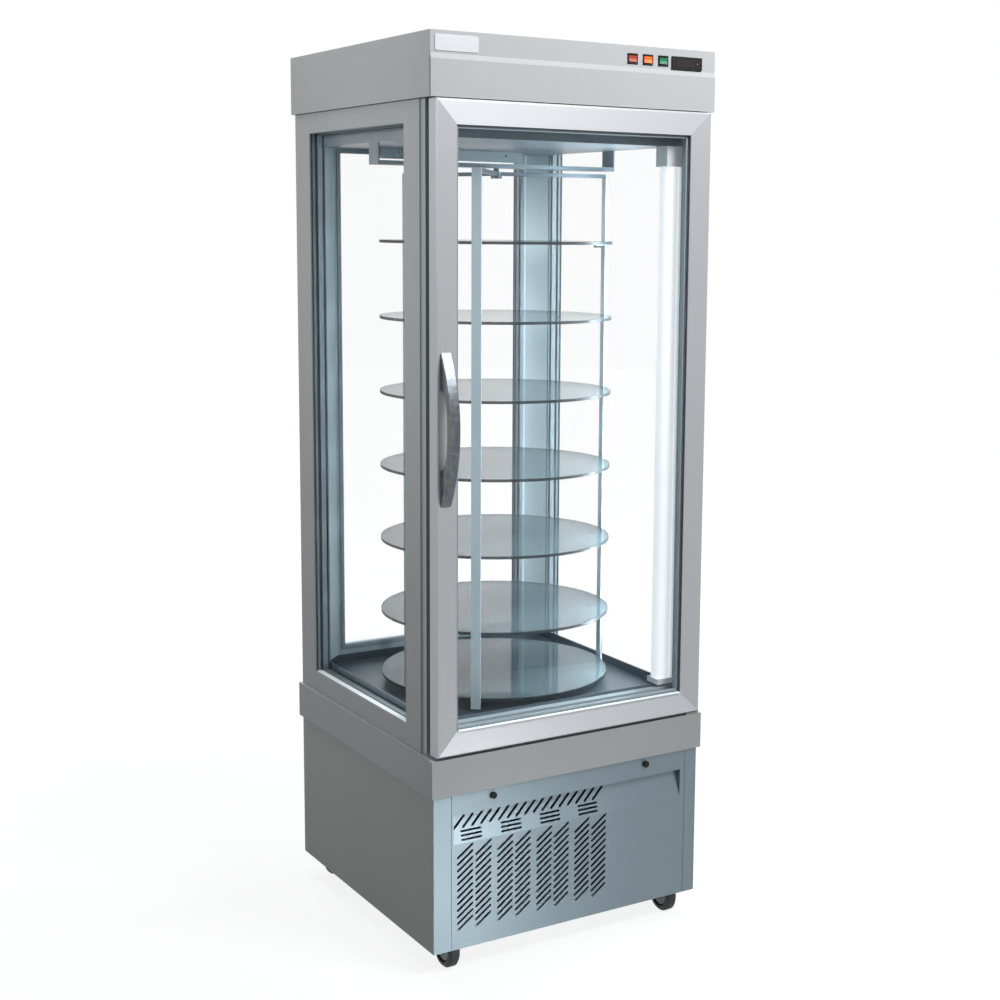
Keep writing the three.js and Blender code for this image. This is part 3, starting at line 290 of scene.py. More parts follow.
alpha = node(tree, "ShaderNodeMix", {
    0: edge.outputs["Result"], 2: face_alpha.outputs["Result"], 3: 0.85,
}, data_type="FLOAT")
mix = node(tree, "ShaderNodeMixRGB", {
    "Fac": edge.outputs["Result"], "Color1": linear("#6f848c"), "Color2": linear("#1d2930"),
})
rough = node(tree, "ShaderNodeMapRange", {
    "Value": edge.outputs["Result"], "To Min": 0.08, "To Max": 0.4,
})
skin = node(tree, "ShaderNodeBsdfPrincipled", {
    "Base Color": mix.outputs["Color"], "Roughness": rough.outputs["Result"],
    "Alpha": alpha.outputs[0],
})
node(tree, "ShaderNodeOutputMaterial", {"Surface": skin.outputs["BSDF"]})
finish_with(disc_glass, "base_disc", *[f"shelf_{at}" for at in range(1, shelf_count + 1)])

# Door gasket: an extruded bellows of dark rubber, pushed into a groove at the back of the door.
# The rubber is satin, with a faint bloom in clouds of about 15 mm. Pane seals and shelf buffers are
# cut from the same rubber; the edge lips, dark strips of painted shadow, take its colour too.
dark_seal, tree = blank("dark_rubber_seal")
place = node(tree, "ShaderNodeTexCoord")
bloom = node(tree, "ShaderNodeTexNoise", {"Vector": place.outputs["Object"], "Scale": 60.0})
mix = node(tree, "ShaderNodeMixRGB", {
    "Fac": bloom.outputs["Fac"], "Color1": linear("#30373c"), "Color2": linear("#3e464c"),
})
skin = node(tree, "ShaderNodeBsdfPrincipled", {
    "Base Color": mix.outputs["Color"], "Roughness": 0.45,
})
node(tree, "ShaderNodeOutputMaterial", {"Surface": skin.outputs["BSDF"]})
finish_with(dark_seal, "door_gasket")

# Door surround: a pale rigid plastic extrusion clipped round the opening, which the gasket
# closes on; its sill catches the light behind the door's lower rail.
sill, tree = blank("pale_extruded_surround")
place = node(tree, "ShaderNodeTexCoord")
drawn = node(tree, "ShaderNodeMapping", {
    "Vector": place.outputs["Object"], "Scale": (3.0, 700.0, 700.0),
})
lines = node(tree, "ShaderNodeTexNoise", {"Vector": drawn.outputs["Vector"], "Scale": 1.0})
mix = node(tree, "ShaderNodeMixRGB", {
    "Fac": lines.outputs["Fac"], "Color1": linear("#9eadb4"), "Color2": linear("#b9c6cc"),
})
skin = node(tree, "ShaderNodeBsdfPrincipled", {
    "Base Color": mix.outputs["Color"], "Roughness": 0.3,
})
node(tree, "ShaderNodeOutputMaterial", {"Surface": skin.outputs["BSDF"]})
finish_with(sill, "door_surround")

# Door profiles: extruded aluminium, mitred and pressed onto corner cleats, satin anodised. The die
# leaves a grain along each profile, about 0.3 mm fine, that spreads a lamp's light across itself:
# the rails carry light down from above. The rails also get a paler base colour than the stiles, a
# painted highlight that keeps them paler.
smooth_rate, grain_rate = 5.0, 3000.0
for run, across, dark, light, profiles in (
    # The rails' paler colours are painted highlight; the stiles keep the metal's own tone.
    ("rail", (0.0, 0.3, 1.0), "#b8bbbf", "#c2c6c9", ("door_top_rail", "door_bottom_rail")),
    ("stile", (1.0, 0.3, 0.0), "#b0b3b7", "#babdc0", ("door_handle_stile", "door_hinge_stile")),
):
    anodised, tree = blank(f"satin_anodised_{run}")
    place = node(tree, "ShaderNodeTexCoord")
    drawn = node(tree, "ShaderNodeMapping", {
        "Vector": place.outputs["Object"],
        "Scale": (
            smooth_rate + grain_rate * across[0], grain_rate, smooth_rate + grain_rate * across[2],
        ),
    })
    lines = node(tree, "ShaderNodeTexNoise", {"Vector": drawn.outputs["Vector"], "Scale": 1.0})
    rough = node(tree, "ShaderNodeMapRange", {
        "Value": lines.outputs["Fac"], "To Min": 0.4, "To Max": 0.48,
    })
    mix = node(tree, "ShaderNodeMixRGB", {
        "Fac": lines.outputs["Fac"], "Color1": linear(dark), "Color2": linear(light),
    })
    along = node(tree, "ShaderNodeCombineXYZ", {"X": across[0], "Y": across[1], "Z": across[2]})
    tangent = node(tree, "ShaderNodeVectorTransform", {
        "Vector": along.outputs["Vector"],
    }, vector_type="VECTOR", convert_from="OBJECT", convert_to="WORLD")
    skin = node(tree, "ShaderNodeBsdfPrincipled", {
        "Base Color": mix.outputs["Color"], "Roughness": rough.outputs["Result"],
        "Metallic": 0.5, "Anisotropic": 0.7, "Tangent": tangent.outputs["Vector"],
    })
    node(tree, "ShaderNodeOutputMaterial", {"Surface": skin.outputs["BSDF"]})
    finish_with(anodised, *profiles)

# Handle: a die-cast bow screwed to the stile, chromed over a rough polish, so that its grey face
# is broken by soft pits and swirls about 10 mm across.
chrome, tree = blank("polished_chrome")
place = node(tree, "ShaderNodeTexCoord")
swirl = node(tree, "ShaderNodeTexNoise", {
    "Vector": place.outputs["Object"], "Scale": 90.0, "Detail": 3.0,
})
rough = node(tree, "ShaderNodeMapRange", {
    "Value": swirl.outputs["Fac"], "To Min": 0.22, "To Max": 0.45,
})
shine = node(tree, "ShaderNodeMixRGB", {
    "Fac": swirl.outputs["Fac"], "Color1": linear("#3d4246"), "Color2": linear("#777c81"),
})
pits = node(tree, "ShaderNodeBump", {
    "Height": swirl.outputs["Fac"], "Strength": 0.25, "Distance": 0.001,
})
skin = node(tree, "ShaderNodeBsdfPrincipled", {
    "Base Color": shine.outputs["Color"], "Roughness": rough.outputs["Result"], "Metallic": 1.0,
    "Normal": pits.outputs["Normal"],
})
node(tree, "ShaderNodeOutputMaterial", {"Surface": skin.outputs["BSDF"]})
finish_with(chrome, "door_handle")

# Lamp: a cool white tube behind an opal diffuser that clips over it. The diffuser glows evenly,
# with slow clouds in its brightness, and hides the tube.
opal, tree = blank("lit_opal_diffuser")
place = node(tree, "ShaderNodeTexCoord")
ridge = node(tree, "ShaderNodeTexNoise", {"Vector": place.outputs["Object"], "Scale": 12.0})
glow = node(tree, "ShaderNodeMixRGB", {
    "Fac": ridge.outputs["Fac"], "Color1": linear("#f2f8ff"), "Color2": linear("#ffffff"),
})
skin = node(tree, "ShaderNodeBsdfPrincipled", {
    "Base Color": linear("#e9eef0"), "Roughness": 0.5, "Emission Color": glow.outputs["Color"],
    "Emission Strength": 0.6,
})
node(tree, "ShaderNodeOutputMaterial", {"Surface": skin.outputs["BSDF"]})
finish_with(opal, "lamp_cover", "lamp_tube")

# Lamp channel: white moulded plastic with the tube's end sockets, screwed into the corner behind
# the hinge stile. Light from the tube leaks through it, which a weak glow of its own stands for.
white_plastic, tree = blank("white_moulded_plastic")
place = node(tree, "ShaderNodeTexCoord")
speck = node(tree, "ShaderNodeTexNoise", {"Vector": place.outputs["Object"], "Scale": 300.0})
mix = node(tree, "ShaderNodeMixRGB", {
    "Fac": speck.outputs["Fac"], "Color1": linear("#c9cfd3"), "Color2": linear("#d6dbde"),
})
skin = node(tree, "ShaderNodeBsdfPrincipled", {
    "Base Color": mix.outputs["Color"], "Roughness": 0.45,
    "Emission Color": mix.outputs["Color"], "Emission Strength": 0.16,
})
node(tree, "ShaderNodeOutputMaterial", {"Surface": skin.outputs["BSDF"]})
finish_with(white_plastic, "lamp_fixture")

# Controller and thumb screws: the controller's case snaps into the fascia, and the round knobs
# hold the grille panel. Both are black plastic with a fine spark-eroded grain, which dulls it; the
# switch bezels are moulded of it too.
black_plastic, tree = blank("black_moulded_plastic")
place = node(tree, "ShaderNodeTexCoord")
speck = node(tree, "ShaderNodeTexNoise", {"Vector": place.outputs["Object"], "Scale": 900.0})
grain = node(tree, "ShaderNodeBump", {
    "Height": speck.outputs["Fac"], "Strength": 0.2, "Distance": 0.0002,
})
mix = node(tree, "ShaderNodeMixRGB", {
    "Fac": speck.outputs["Fac"], "Color1": linear("#0c0d0e"), "Color2": linear("#151618"),
})
skin = node(tree, "ShaderNodeBsdfPrincipled", {
    "Base Color": mix.outputs["Color"], "Roughness": 0.4, "Normal": grain.outputs["Normal"],
    "Specular IOR Level": 0.2,
})
node(tree, "ShaderNodeOutputMaterial", {"Surface": skin.outputs["BSDF"]})
finish_with(black_plastic, "controller", "thumb_screw_left", "thumb_screw_right")

# Machine side: base plate, hinge brackets, caster forks, fan and gear case are zinc-plated steel,
# pressed and bolted on. The passivated plating is clouded, so it shines only softly.
zinc, tree = blank("passivated_zinc_plate")
place = node(tree, "ShaderNodeTexCoord")
cloud = node(tree, "ShaderNodeTexNoise", {"Vector": place.outputs["Object"], "Scale": 40.0})
mix = node(tree, "ShaderNodeMixRGB", {
    "Fac": cloud.outputs["Fac"], "Color1": linear("#84888c"), "Color2": linear("#9da1a4"),
})
skin = node(tree, "ShaderNodeBsdfPrincipled", {
    "Base Color": mix.outputs["Color"], "Roughness": 0.42, "Metallic": 0.8,
})
node(tree, "ShaderNodeOutputMaterial", {"Surface": skin.outputs["BSDF"]})
casters = ("front_left", "front_right", "rear_left", "rear_right")
finish_with(
    zinc, "gear_motor", "base_plate", "upper_hinge", "lower_hinge", "condenser_fan",
    *[f"caster_fork_{corner}" for corner in casters],
)

# Compressor and condenser: steel pressings bolted to the base plate, stove-enamelled black, dull
# and a little dusty.
black_enamel, tree = blank("black_machine_enamel")
place = node(tree, "ShaderNodeTexCoord")
dust = node(tree, "ShaderNodeTexNoise", {"Vector": place.outputs["Object"], "Scale": 25.0})
mix = node(tree, "ShaderNodeMixRGB", {
    "Fac": dust.outputs["Fac"], "Color1": linear("#101112"), "Color2": linear("#232527"),
})
skin = node(tree, "ShaderNodeBsdfPrincipled", {
    "Base Color": mix.outputs["Color"], "Roughness": 0.5,
})
node(tree, "ShaderNodeOutputMaterial", {"Surface": skin.outputs["BSDF"]})
finish_with(black_enamel, "compressor", "condenser")

# Caster wheels: a black rubber tyre moulded on a pale nylon wheel, on a pin through the fork. The
# rubber is scuffed and dull; the nylon shows as a paler disc sunk into each side of the wheel.
tyre, tree = blank("black_rubber_tyre")
place = node(tree, "ShaderNodeTexCoord")
speck = node(tree, "ShaderNodeTexNoise", {"Vector": place.outputs["Object"], "Scale": 250.0})
mix = node(tree, "ShaderNodeMixRGB", {
    "Fac": speck.outputs["Fac"], "Color1": linear("#17181a"), "Color2": linear("#26282a"),
})
skin = node(tree, "ShaderNodeBsdfPrincipled", {
    "Base Color": mix.outputs["Color"], "Roughness": 0.6,
})
node(tree, "ShaderNodeOutputMaterial", {"Surface": skin.outputs["BSDF"]})
finish_with(tyre, *[f"wheel_{corner}" for corner in casters])

nylon, tree = blank("pale_nylon_hub")
place = node(tree, "ShaderNodeTexCoord")
speck = node(tree, "ShaderNodeTexNoise", {"Vector": place.outputs["Object"], "Scale": 120.0})
mix = node(tree, "ShaderNodeMixRGB", {
    "Fac": speck.outputs["Fac"], "Color1": linear("#9fa3a5"), "Color2": linear("#b4b8b9"),
})
skin = node(tree, "ShaderNodeBsdfPrincipled", {
    "Base Color": mix.outputs["Color"], "Roughness": 0.4,
})
node(tree, "ShaderNodeOutputMaterial", {"Surface": skin.outputs["BSDF"]})


def keep(name, shape, material, body):
    """Turns a bmesh into a named piece that rides on a body."""
    bmesh.ops.recalc_face_normals(shape, faces=shape.faces)
    mesh = bpy.data.meshes.new(name)
    shape.to_mesh(mesh)
    shape.free()
    mesh.materials.append(material)
    piece = bpy.data.objects.new(name, mesh)
    bpy.context.scene.collection.objects.link(piece)
    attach(piece, body)


hub_radius, hub_face_radius, hub_depth = 0.0255, 0.0225, 0.004
hub_set_in = 0.0049
for corner in casters:
    low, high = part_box(f"wheel_{corner}")
    hub = bmesh.new()
    for face_x, turn in ((low.x + hub_set_in, -1), (high.x - hub_set_in, 1)):
        made = bmesh.ops.create_cone(
            hub, cap_ends=True, segments=32, radius1=hub_radius, radius2=hub_face_radius,
            depth=hub_depth,
        )["verts"]
        bmesh.ops.rotate(hub, verts=made, matrix=Matrix.Rotation(turn * math.pi / 2, 3, "Y"))
        centre = Vector((face_x, (low.y + high.y) / 2, (low.z + high.z) / 2))
        bmesh.ops.translate(hub, verts=made, vec=centre)
    keep(f"hub_{corner}", hub, nylon, f"roller_{corner}")

# Rocker keys: moulded in tinted clear plastic, tipping on pivots behind the fascia. The small
# lamp behind each makes it glow faintly, the orange one most.
for colour, dark, light, power in (
    ("red", "#8c2e18", "#b84c32", 0.16),
    ("orange", "#d8561a", "#ff7a28", 0.5),
    ("green", "#0f5a38", "#1f8a58", 0.06),
):
    lit, tree = blank(f"lit_{colour}_key")
    place = node(tree, "ShaderNodeTexCoord")
    glow = node(tree, "ShaderNodeTexNoise", {"Vector": place.outputs["Object"], "Scale": 120.0})
    mix = node(tree, "ShaderNodeMixRGB", {
        "Fac": glow.outputs["Fac"], "Color1": linear(dark), "Color2": linear(light),
    })
    skin = node(tree, "ShaderNodeBsdfPrincipled", {
        "Base Color": mix.outputs["Color"], "Roughness": 0.5,
        "Emission Color": mix.outputs["Color"], "Emission Strength": power,
    })
    node(tree, "ShaderNodeOutputMaterial", {"Surface": skin.outputs["BSDF"]})
    finish_with(lit, f"rocker_{colour}")

# Switch bezels: black plastic frames, 25 by 21 mm, that snap into the fascia round each key and
# stand proud of it by a thin raised lip. The fascia's upper face is set back from its lower one.
fascia_step = 0.0025
fascia_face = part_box("front_fascia")[0].y + fascia_step
bezel_width, bezel_height, bezel_border = 0.0248, 0.0212, 0.0024
bezel_proud, bezel_round = 0.0016, 0.0005


def flat_ring(width, height, border, depth, round_off):
    """A rectangular frame standing in the xz plane, its back at y = 0 and its front at -depth."""
    ring = bmesh.new()
    bmesh.ops.create_grid(ring, x_segments=1, y_segments=1, size=0.5)
    bmesh.ops.scale(ring, vec=(width, height, 1.0), verts=ring.verts)
    ring.faces.ensure_lookup_table()
    middle = ring.faces[0]
    bmesh.ops.inset_region(
        ring, faces=[middle], thickness=border, use_even_offset=True, use_boundary=True,
    )
    bmesh.ops.delete(ring, geom=[middle], context="FACES_ONLY")
    lifted = bmesh.ops.extrude_face_region(ring, geom=list(ring.faces))["geom"]
    moved = [part for part in lifted if isinstance(part, bmesh.types.BMVert)]
    bmesh.ops.translate(ring, verts=moved, vec=(0.0, 0.0, depth))
    top_edges = [edge for edge in ring.edges if all(vert in moved for vert in edge.verts)]
    if round_off:
        bmesh.ops.bevel(
            ring, geom=top_edges, offset=round_off, affect="EDGES", segments=2, profile=0.5,
            material=-1,
        )
    bmesh.ops.rotate(ring, verts=ring.verts, matrix=Matrix.Rotation(math.pi / 2, 3, "X"))
    return ring


for colour in ("red", "orange", "green"):
    low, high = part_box(f"rocker_{colour}")
    middle = (low + high) / 2
    bezel = flat_ring(bezel_width, bezel_height, bezel_border, bezel_proud, bezel_round)
    bmesh.ops.translate(bezel, verts=bezel.verts, vec=(middle.x, fascia_face, middle.z))
    keep(f"bezel_{colour}", bezel, black_plastic, "cabinet")

# Controller window: a strip of smoked acrylic, smooth and nearly black, that clips over the
# controller's display.
smoked, tree = blank("smoked_acrylic_window")
place = node(tree, "ShaderNodeTexCoord")
dust = node(tree, "ShaderNodeTexNoise", {"Vector": place.outputs["Object"], "Scale": 80.0})
mix = node(tree, "ShaderNodeMixRGB", {
    "Fac": dust.outputs["Fac"], "Color1": linear("#16090a"), "Color2": linear("#221012"),
})
skin = node(tree, "ShaderNodeBsdfPrincipled", {
    "Base Color": mix.outputs["Color"], "Roughness": 0.15,
})
node(tree, "ShaderNodeOutputMaterial", {"Surface": skin.outputs["BSDF"]})


def strip_of(width, depth, height, round_off):
    """A straight strip with all its edges rounded, centred on the origin."""
    strip = bmesh.new()
    bmesh.ops.create_cube(strip, size=1.0)
    bmesh.ops.scale(strip, vec=(width, depth, height), verts=strip.verts)
    bmesh.ops.bevel(
        strip, geom=list(strip.edges), offset=round_off, affect="EDGES", segments=2, profile=0.5,
        material=-1,
    )
    return strip


low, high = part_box("controller")
window_width, window_depth, window_height, window_round = 0.046, 0.0012, 0.014, 0.0004
window_from_left, window_sunk = 0.033, 0.0001
window = strip_of(window_width, window_depth, window_height, window_round)
bmesh.ops.translate(window, verts=window.verts, vec=(
    low.x + window_from_left, low.y + window_sunk, (low.z + high.z) / 2,
))
keep("controller_window", window, smoked, "cabinet")

# Controller lamp: the red dome of a light-emitting diode, set in the controller's face beside the
# window and glowing through its tinted plastic.
lamp_radius, lamp_from_right = 0.0016, 0.012
red_lamp, tree = blank("small_red_lamp")
place = node(tree, "ShaderNodeTexCoord")
spot = node(tree, "ShaderNodeTexNoise", {"Vector": place.outputs["Object"], "Scale": 200.0})
mix = node(tree, "ShaderNodeMixRGB", {
    "Fac": spot.outputs["Fac"], "Color1": linear("#b02a20"), "Color2": linear("#d84434"),
})
skin = node(tree, "ShaderNodeBsdfPrincipled", {
    "Base Color": mix.outputs["Color"], "Roughness": 0.3, "Emission Color": mix.outputs["Color"],
    "Emission Strength": 0.6,
})
node(tree, "ShaderNodeOutputMaterial", {"Surface": skin.outputs["BSDF"]})
dot = bmesh.new()
bmesh.ops.create_uvsphere(dot, u_segments=16, v_segments=8, radius=lamp_radius)
bmesh.ops.translate(
    dot, verts=dot.verts, vec=(high.x - lamp_from_right, low.y, (low.z + high.z) / 2),
)
keep("controller_lamp", dot, red_lamp, "cabinet")

# Name plate: a thin blank plate of aluminium with rounded corners, glued to the upper fascia. It
# is brushed from side to side, which turns its brightness into an even pale grey.
plate_width, plate_depth, plate_height = 0.093, 0.0014, 0.030
plate_corner, plate_round = 0.004, 0.0005
plate_x, plate_z = -0.274, 1.8372
plate_metal, tree = blank("bright_blank_plate")
place = node(tree, "ShaderNodeTexCoord")
drawn = node(tree, "ShaderNodeMapping", {
    "Vector": place.outputs["Object"], "Scale": (6.0, 6.0, 1200.0),
})
lines = node(tree, "ShaderNodeTexNoise", {"Vector": drawn.outputs["Vector"], "Scale": 1.0})
mix = node(tree, "ShaderNodeMixRGB", {
    "Fac": lines.outputs["Fac"], "Color1": linear("#b9bcc2"), "Color2": linear("#c6c9ce"),
})
skin = node(tree, "ShaderNodeBsdfPrincipled", {
    "Base Color": mix.outputs["Color"], "Roughness": 0.35, "Metallic": 0.2,
})
node(tree, "ShaderNodeOutputMaterial", {"Surface": skin.outputs["BSDF"]})
plate = bmesh.new()
bmesh.ops.create_cube(plate, size=1.0)
bmesh.ops.scale(plate, vec=(plate_width, plate_depth, plate_height), verts=plate.verts)
corners = [e for e in plate.edges if abs(e.verts[0].co.y - e.verts[1].co.y) > plate_depth / 2]
bmesh.ops.bevel(
    plate, geom=corners, offset=plate_corner, affect="EDGES", segments=4, profile=0.5,
    material=-1,
)
front_rim = [e for e in plate.edges if all(v.co.y < -0.4 * plate_depth for v in e.verts)]
bmesh.ops.bevel(
    plate, geom=front_rim, offset=plate_round, affect="EDGES", segments=2, profile=0.5,
    material=-1,
)
bmesh.ops.translate(plate, verts=plate.verts, vec=(
    plate_x, fascia_face - plate_depth / 2, plate_z,
))
keep("blank_name_plate", plate, plate_metal, "cabinet")

# Pane spacers: a folded bar of mill-finish aluminium with drying beads in it, glued between the
# two sheets of each pane. It shows as a matt blue-grey line just inside the frame.
spacer_bar, tree = blank("mill_aluminium_spacer")
place = node(tree, "ShaderNodeTexCoord")
holes = node(tree, "ShaderNodeTexNoise", {"Vector": place.outputs["Object"], "Scale": 400.0})
mix = node(tree, "ShaderNodeMixRGB", {
    "Fac": holes.outputs["Fac"], "Color1": linear("#97a6ae"), "Color2": linear("#a9b6bd"),
})
skin = node(tree, "ShaderNodeBsdfPrincipled", {
    "Base Color": mix.outputs["Color"], "Roughness": 0.5, "Metallic": 0.2,
})
node(tree, "ShaderNodeOutputMaterial", {"Surface": skin.outputs["BSDF"]})

# Reveal trims and inner gaskets: extruded blue-grey soft plastic with a dull bloom. A trim lines
# each window's opening from the pane to the outer face, and a gasket seals the pane's inside.
reveal_trim, tree = blank("blue_grey_reveal_trim")
place = node(tree, "ShaderNodeTexCoord")
bloom = node(tree, "ShaderNodeTexNoise", {"Vector": place.outputs["Object"], "Scale": 90.0})
mix = node(tree, "ShaderNodeMixRGB", {
    "Fac": bloom.outputs["Fac"], "Color1": linear("#91a1a9"), "Color2": linear("#a0afb7"),
})
skin = node(tree, "ShaderNodeBsdfPrincipled", {
    "Base Color": mix.outputs["Color"], "Roughness": 0.5,
})
node(tree, "ShaderNodeOutputMaterial", {"Surface": skin.outputs["BSDF"]})

# Sill strips: extruded white plastic laid along the foot of each pane's opening. Light from the
# tube runs through it, so it shows as a thin bright line; a weak glow of its own stands for that.
sill_plastic, tree = blank("white_extruded_sill_strip")
place = node(tree, "ShaderNodeTexCoord")
bloom = node(tree, "ShaderNodeTexNoise", {"Vector": place.outputs["Object"], "Scale": 150.0})
mix = node(tree, "ShaderNodeMixRGB", {
    "Fac": bloom.outputs["Fac"], "Color1": linear("#dfe9ec"), "Color2": linear("#eef4f6"),
})
skin = node(tree, "ShaderNodeBsdfPrincipled", {
    "Base Color": mix.outputs["Color"], "Roughness": 0.3, "Emission Color": mix.outputs["Color"],
    "Emission Strength": 0.35,
})
node(tree, "ShaderNodeOutputMaterial", {"Surface": skin.outputs["BSDF"]})

# Pane trims: a wedge gasket of dark rubber presses each pane from outside, the inner gasket bears
# on its back, and each window also has a thin dark bead round its opening's outer edge.
frame_cover, door_cover = 0.0077, 0.0087
outer_border, outer_proud, rubber_round = 0.0017, 0.0022, 0.0005
inner_proud, inner_round, spacer_inset = 0.003, 0.0008, 0.0042
bead_border, bead_depth, bead_from_pane, bead_extra = 0.0020, 0.0035, 0.0080, 0.0020
reveal_border, reveal_depth, reveal_sunk = 0.0012, 0.0122, 0.0002
strip_height, strip_round, strip_play = 0.0022, 0.0003, 0.0060
for side, glazing, body, turn, hidden in (
    ("left", "left_glazing", "cabinet", -math.pi / 2, frame_cover),
    ("right", "right_glazing", "cabinet", math.pi / 2, frame_cover),
    ("rear", "rear_glazing", "cabinet", math.pi, frame_cover),
    ("door", "door_glass", "door", 0.0, door_cover),
):
    low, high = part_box(glazing)
    middle = (low + high) / 2
    size = high - low
    width, thick = max(size.x, size.y), min(size.x, size.y)
    wide, tall = width - 2 * hidden, size.z - 2 * hidden
    in_frame = body == "cabinet"
    # A window's rebate is open to the inside, so its inner gasket and spacer reach the pane's edge.
    if in_frame:
        inner_wide, inner_tall, inner_border = width, size.z, 0.009
        spacer_play, spacer_border, strip_depth = 0.006, 0.0075, 0.0120
    else:
        inner_wide, inner_tall, inner_border = wide, tall, 0.004
        spacer_play, spacer_border, strip_depth = 0.0045, 0.004, 0.0080
    spacer_wide, spacer_tall = inner_wide - spacer_play, inner_tall - spacer_play
    spacer_depth = thick - 2 * spacer_inset
    gasket = flat_ring(wide, tall, outer_border, outer_proud, rubber_round)
    inner = flat_ring(inner_wide, inner_tall, inner_border, inner_proud, inner_round)
    spacer = flat_ring(spacer_wide, spacer_tall, spacer_border, spacer_depth, 0.0)
    strip = strip_of(wide - strip_play, strip_depth, strip_height, strip_round)
    trims = [
        (f"{side}_outer_gasket", gasket, (-thick / 2, 0.0), dark_seal, "dark_seal"),
        (f"{side}_inner_gasket", inner, (thick / 2 + inner_proud, 0.0), reveal_trim, "liner"),
        (f"{side}_spacer", spacer, (thick / 2 - spacer_inset, 0.0), spacer_bar, "steel"),
    ]
    if in_frame:
        bead = flat_ring(wide, tall + bead_extra, bead_border, bead_depth, rubber_round)
        reveal = flat_ring(wide, tall, reveal_border, reveal_depth, 0.0)
        bead_y, reveal_y = -thick / 2 - bead_from_pane, -thick / 2 - reveal_sunk
        trims += [
            (f"{side}_edge_bead", bead, (bead_y, 0.0), dark_seal, "dark_seal"),
            (f"{side}_reveal_trim", reveal, (reveal_y, 0.0), reveal_trim, "liner"),
        ]
    strip_at = (-(thick + strip_depth) / 2, (strip_height - tall) / 2)
    trims.append((f"{side}_sill_strip", strip, strip_at, sill_plastic, "lamp_white"))
    for name, trim, (back, rise), material, slot in trims:
        bmesh.ops.translate(trim, verts=trim.verts, vec=(0.0, back, rise))
        bmesh.ops.rotate(trim, verts=trim.verts, matrix=Matrix.Rotation(turn, 3, "Z"))
        bmesh.ops.translate(trim, verts=trim.verts, vec=middle)
        keep(name, trim, material, body)

# Edge lips: dark strips, 2 mm thick, on the fascia's lower edge and under the door's lower rail,
# that stand for the shade in the gaps there: painted shadow. The lower one draws a thin dark line
# along the rail's foot; the upper one sits behind the fascia's edge and hardly shows.
lip_depth, lip_height, lip_round, lip_rise, lip_play = 0.0030, 0.0020, 0.0004, 0.0008, 0.002
# Both strips are painted shadow: dark lines where the gaps show shade.
for name, body, carrier, set_back in (
    ("fascia_shadow_strip", "cabinet", "front_fascia", 0.0031),
    ("door_shadow_strip", "door", "door_bottom_rail", 0.0012),
):
    low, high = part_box(carrier)
    lip = strip_of(high.x - low.x - lip_play, lip_depth, lip_height, lip_round)
    bmesh.ops.translate(lip, verts=lip.verts, vec=(
        (low.x + high.x) / 2, low.y + set_back, low.z + lip_rise,
    ))
    keep(name, lip, dark_seal, body)


# Handle fixings: two small pan-head screws of zinc-plated steel in the stile, beside the inner
# ends of the bow's feet. They are only a glint beside the chrome.
def pan_head(heads, base_radius, face_radius, depth, centre):
    """Adds a screw head whose flat face looks along -y."""
    made = bmesh.ops.create_cone(
        heads, cap_ends=True, segments=20, radius1=base_radius, radius2=face_radius, depth=depth,
    )["verts"]
    bmesh.ops.rotate(heads, verts=made, matrix=Matrix.Rotation(math.pi / 2, 3, "X"))
    bmesh.ops.translate(heads, verts=made, vec=centre)


grip_low, grip_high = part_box("door_handle")
stile_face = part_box("door_handle_stile")[0].y
screw_base, screw_face, screw_depth = 0.0024, 0.0017, 0.0016
screw_from_grip, screw_proud, screw_rise = 0.0030, 0.0006, 0.077
screws = bmesh.new()
for rise in (-screw_rise, screw_rise):
    pan_head(screws, screw_base, screw_face, screw_depth, (
        grip_low.x + screw_from_grip, stile_face - screw_proud,
        (grip_low.z + grip_high.z) / 2 + rise,
    ))
keep("handle_fixings", screws, zinc, "door")

# Evaporator cover screws: two zinc-plated pan-head screws through the cover's front flange, which
# hold it up against the ceiling pan.
flange_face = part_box("evaporator_cover")[0].y
flange_z, pin_from_middle = 1.660, 0.135
pin_base, pin_face, pin_depth = 0.0036, 0.0026, 0.0020
pins = bmesh.new()
for along in (-pin_from_middle, pin_from_middle):
    pan_head(pins, pin_base, pin_face, pin_depth, (along, flange_face - screw_proud, flange_z))
keep("evaporator_screws", pins, zinc, "cabinet")

# Shelf buffers: small blocks of dark rubber under the lugs that carry each disc, one at each of
# the three bars. They show as short dark dashes below the glass edge.
post_angles = (231.5, 351.5, 111.5)
buffer_length, buffer_width, buffer_height, buffer_round = 0.020, 0.013, 0.0032, 0.0006
buffer_reach, buffer_drop = 0.2445, 0.0064
buffers = bmesh.new()
for at in range(1, shelf_count + 1):
    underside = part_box(f"shelf_{at}")[0].z
    for angle in post_angles:
        made = bmesh.ops.create_cube(buffers, size=1.0)["verts"]
        bmesh.ops.scale(buffers, vec=(buffer_length, buffer_width, buffer_height), verts=made)
        bmesh.ops.translate(buffers, verts=made, vec=(buffer_reach, 0.0, underside - buffer_drop))
        bmesh.ops.rotate(buffers, verts=made, matrix=Matrix.Rotation(math.radians(angle), 3, "Z"))
        bmesh.ops.translate(buffers, verts=made, vec=(0.0, axis_y, 0.0))
bmesh.ops.bevel(
    buffers, geom=list(buffers.edges), offset=buffer_round, affect="EDGES", segments=1,
    profile=0.5, material=-1,
)
keep("shelf_buffers", buffers, dark_seal, "rack")

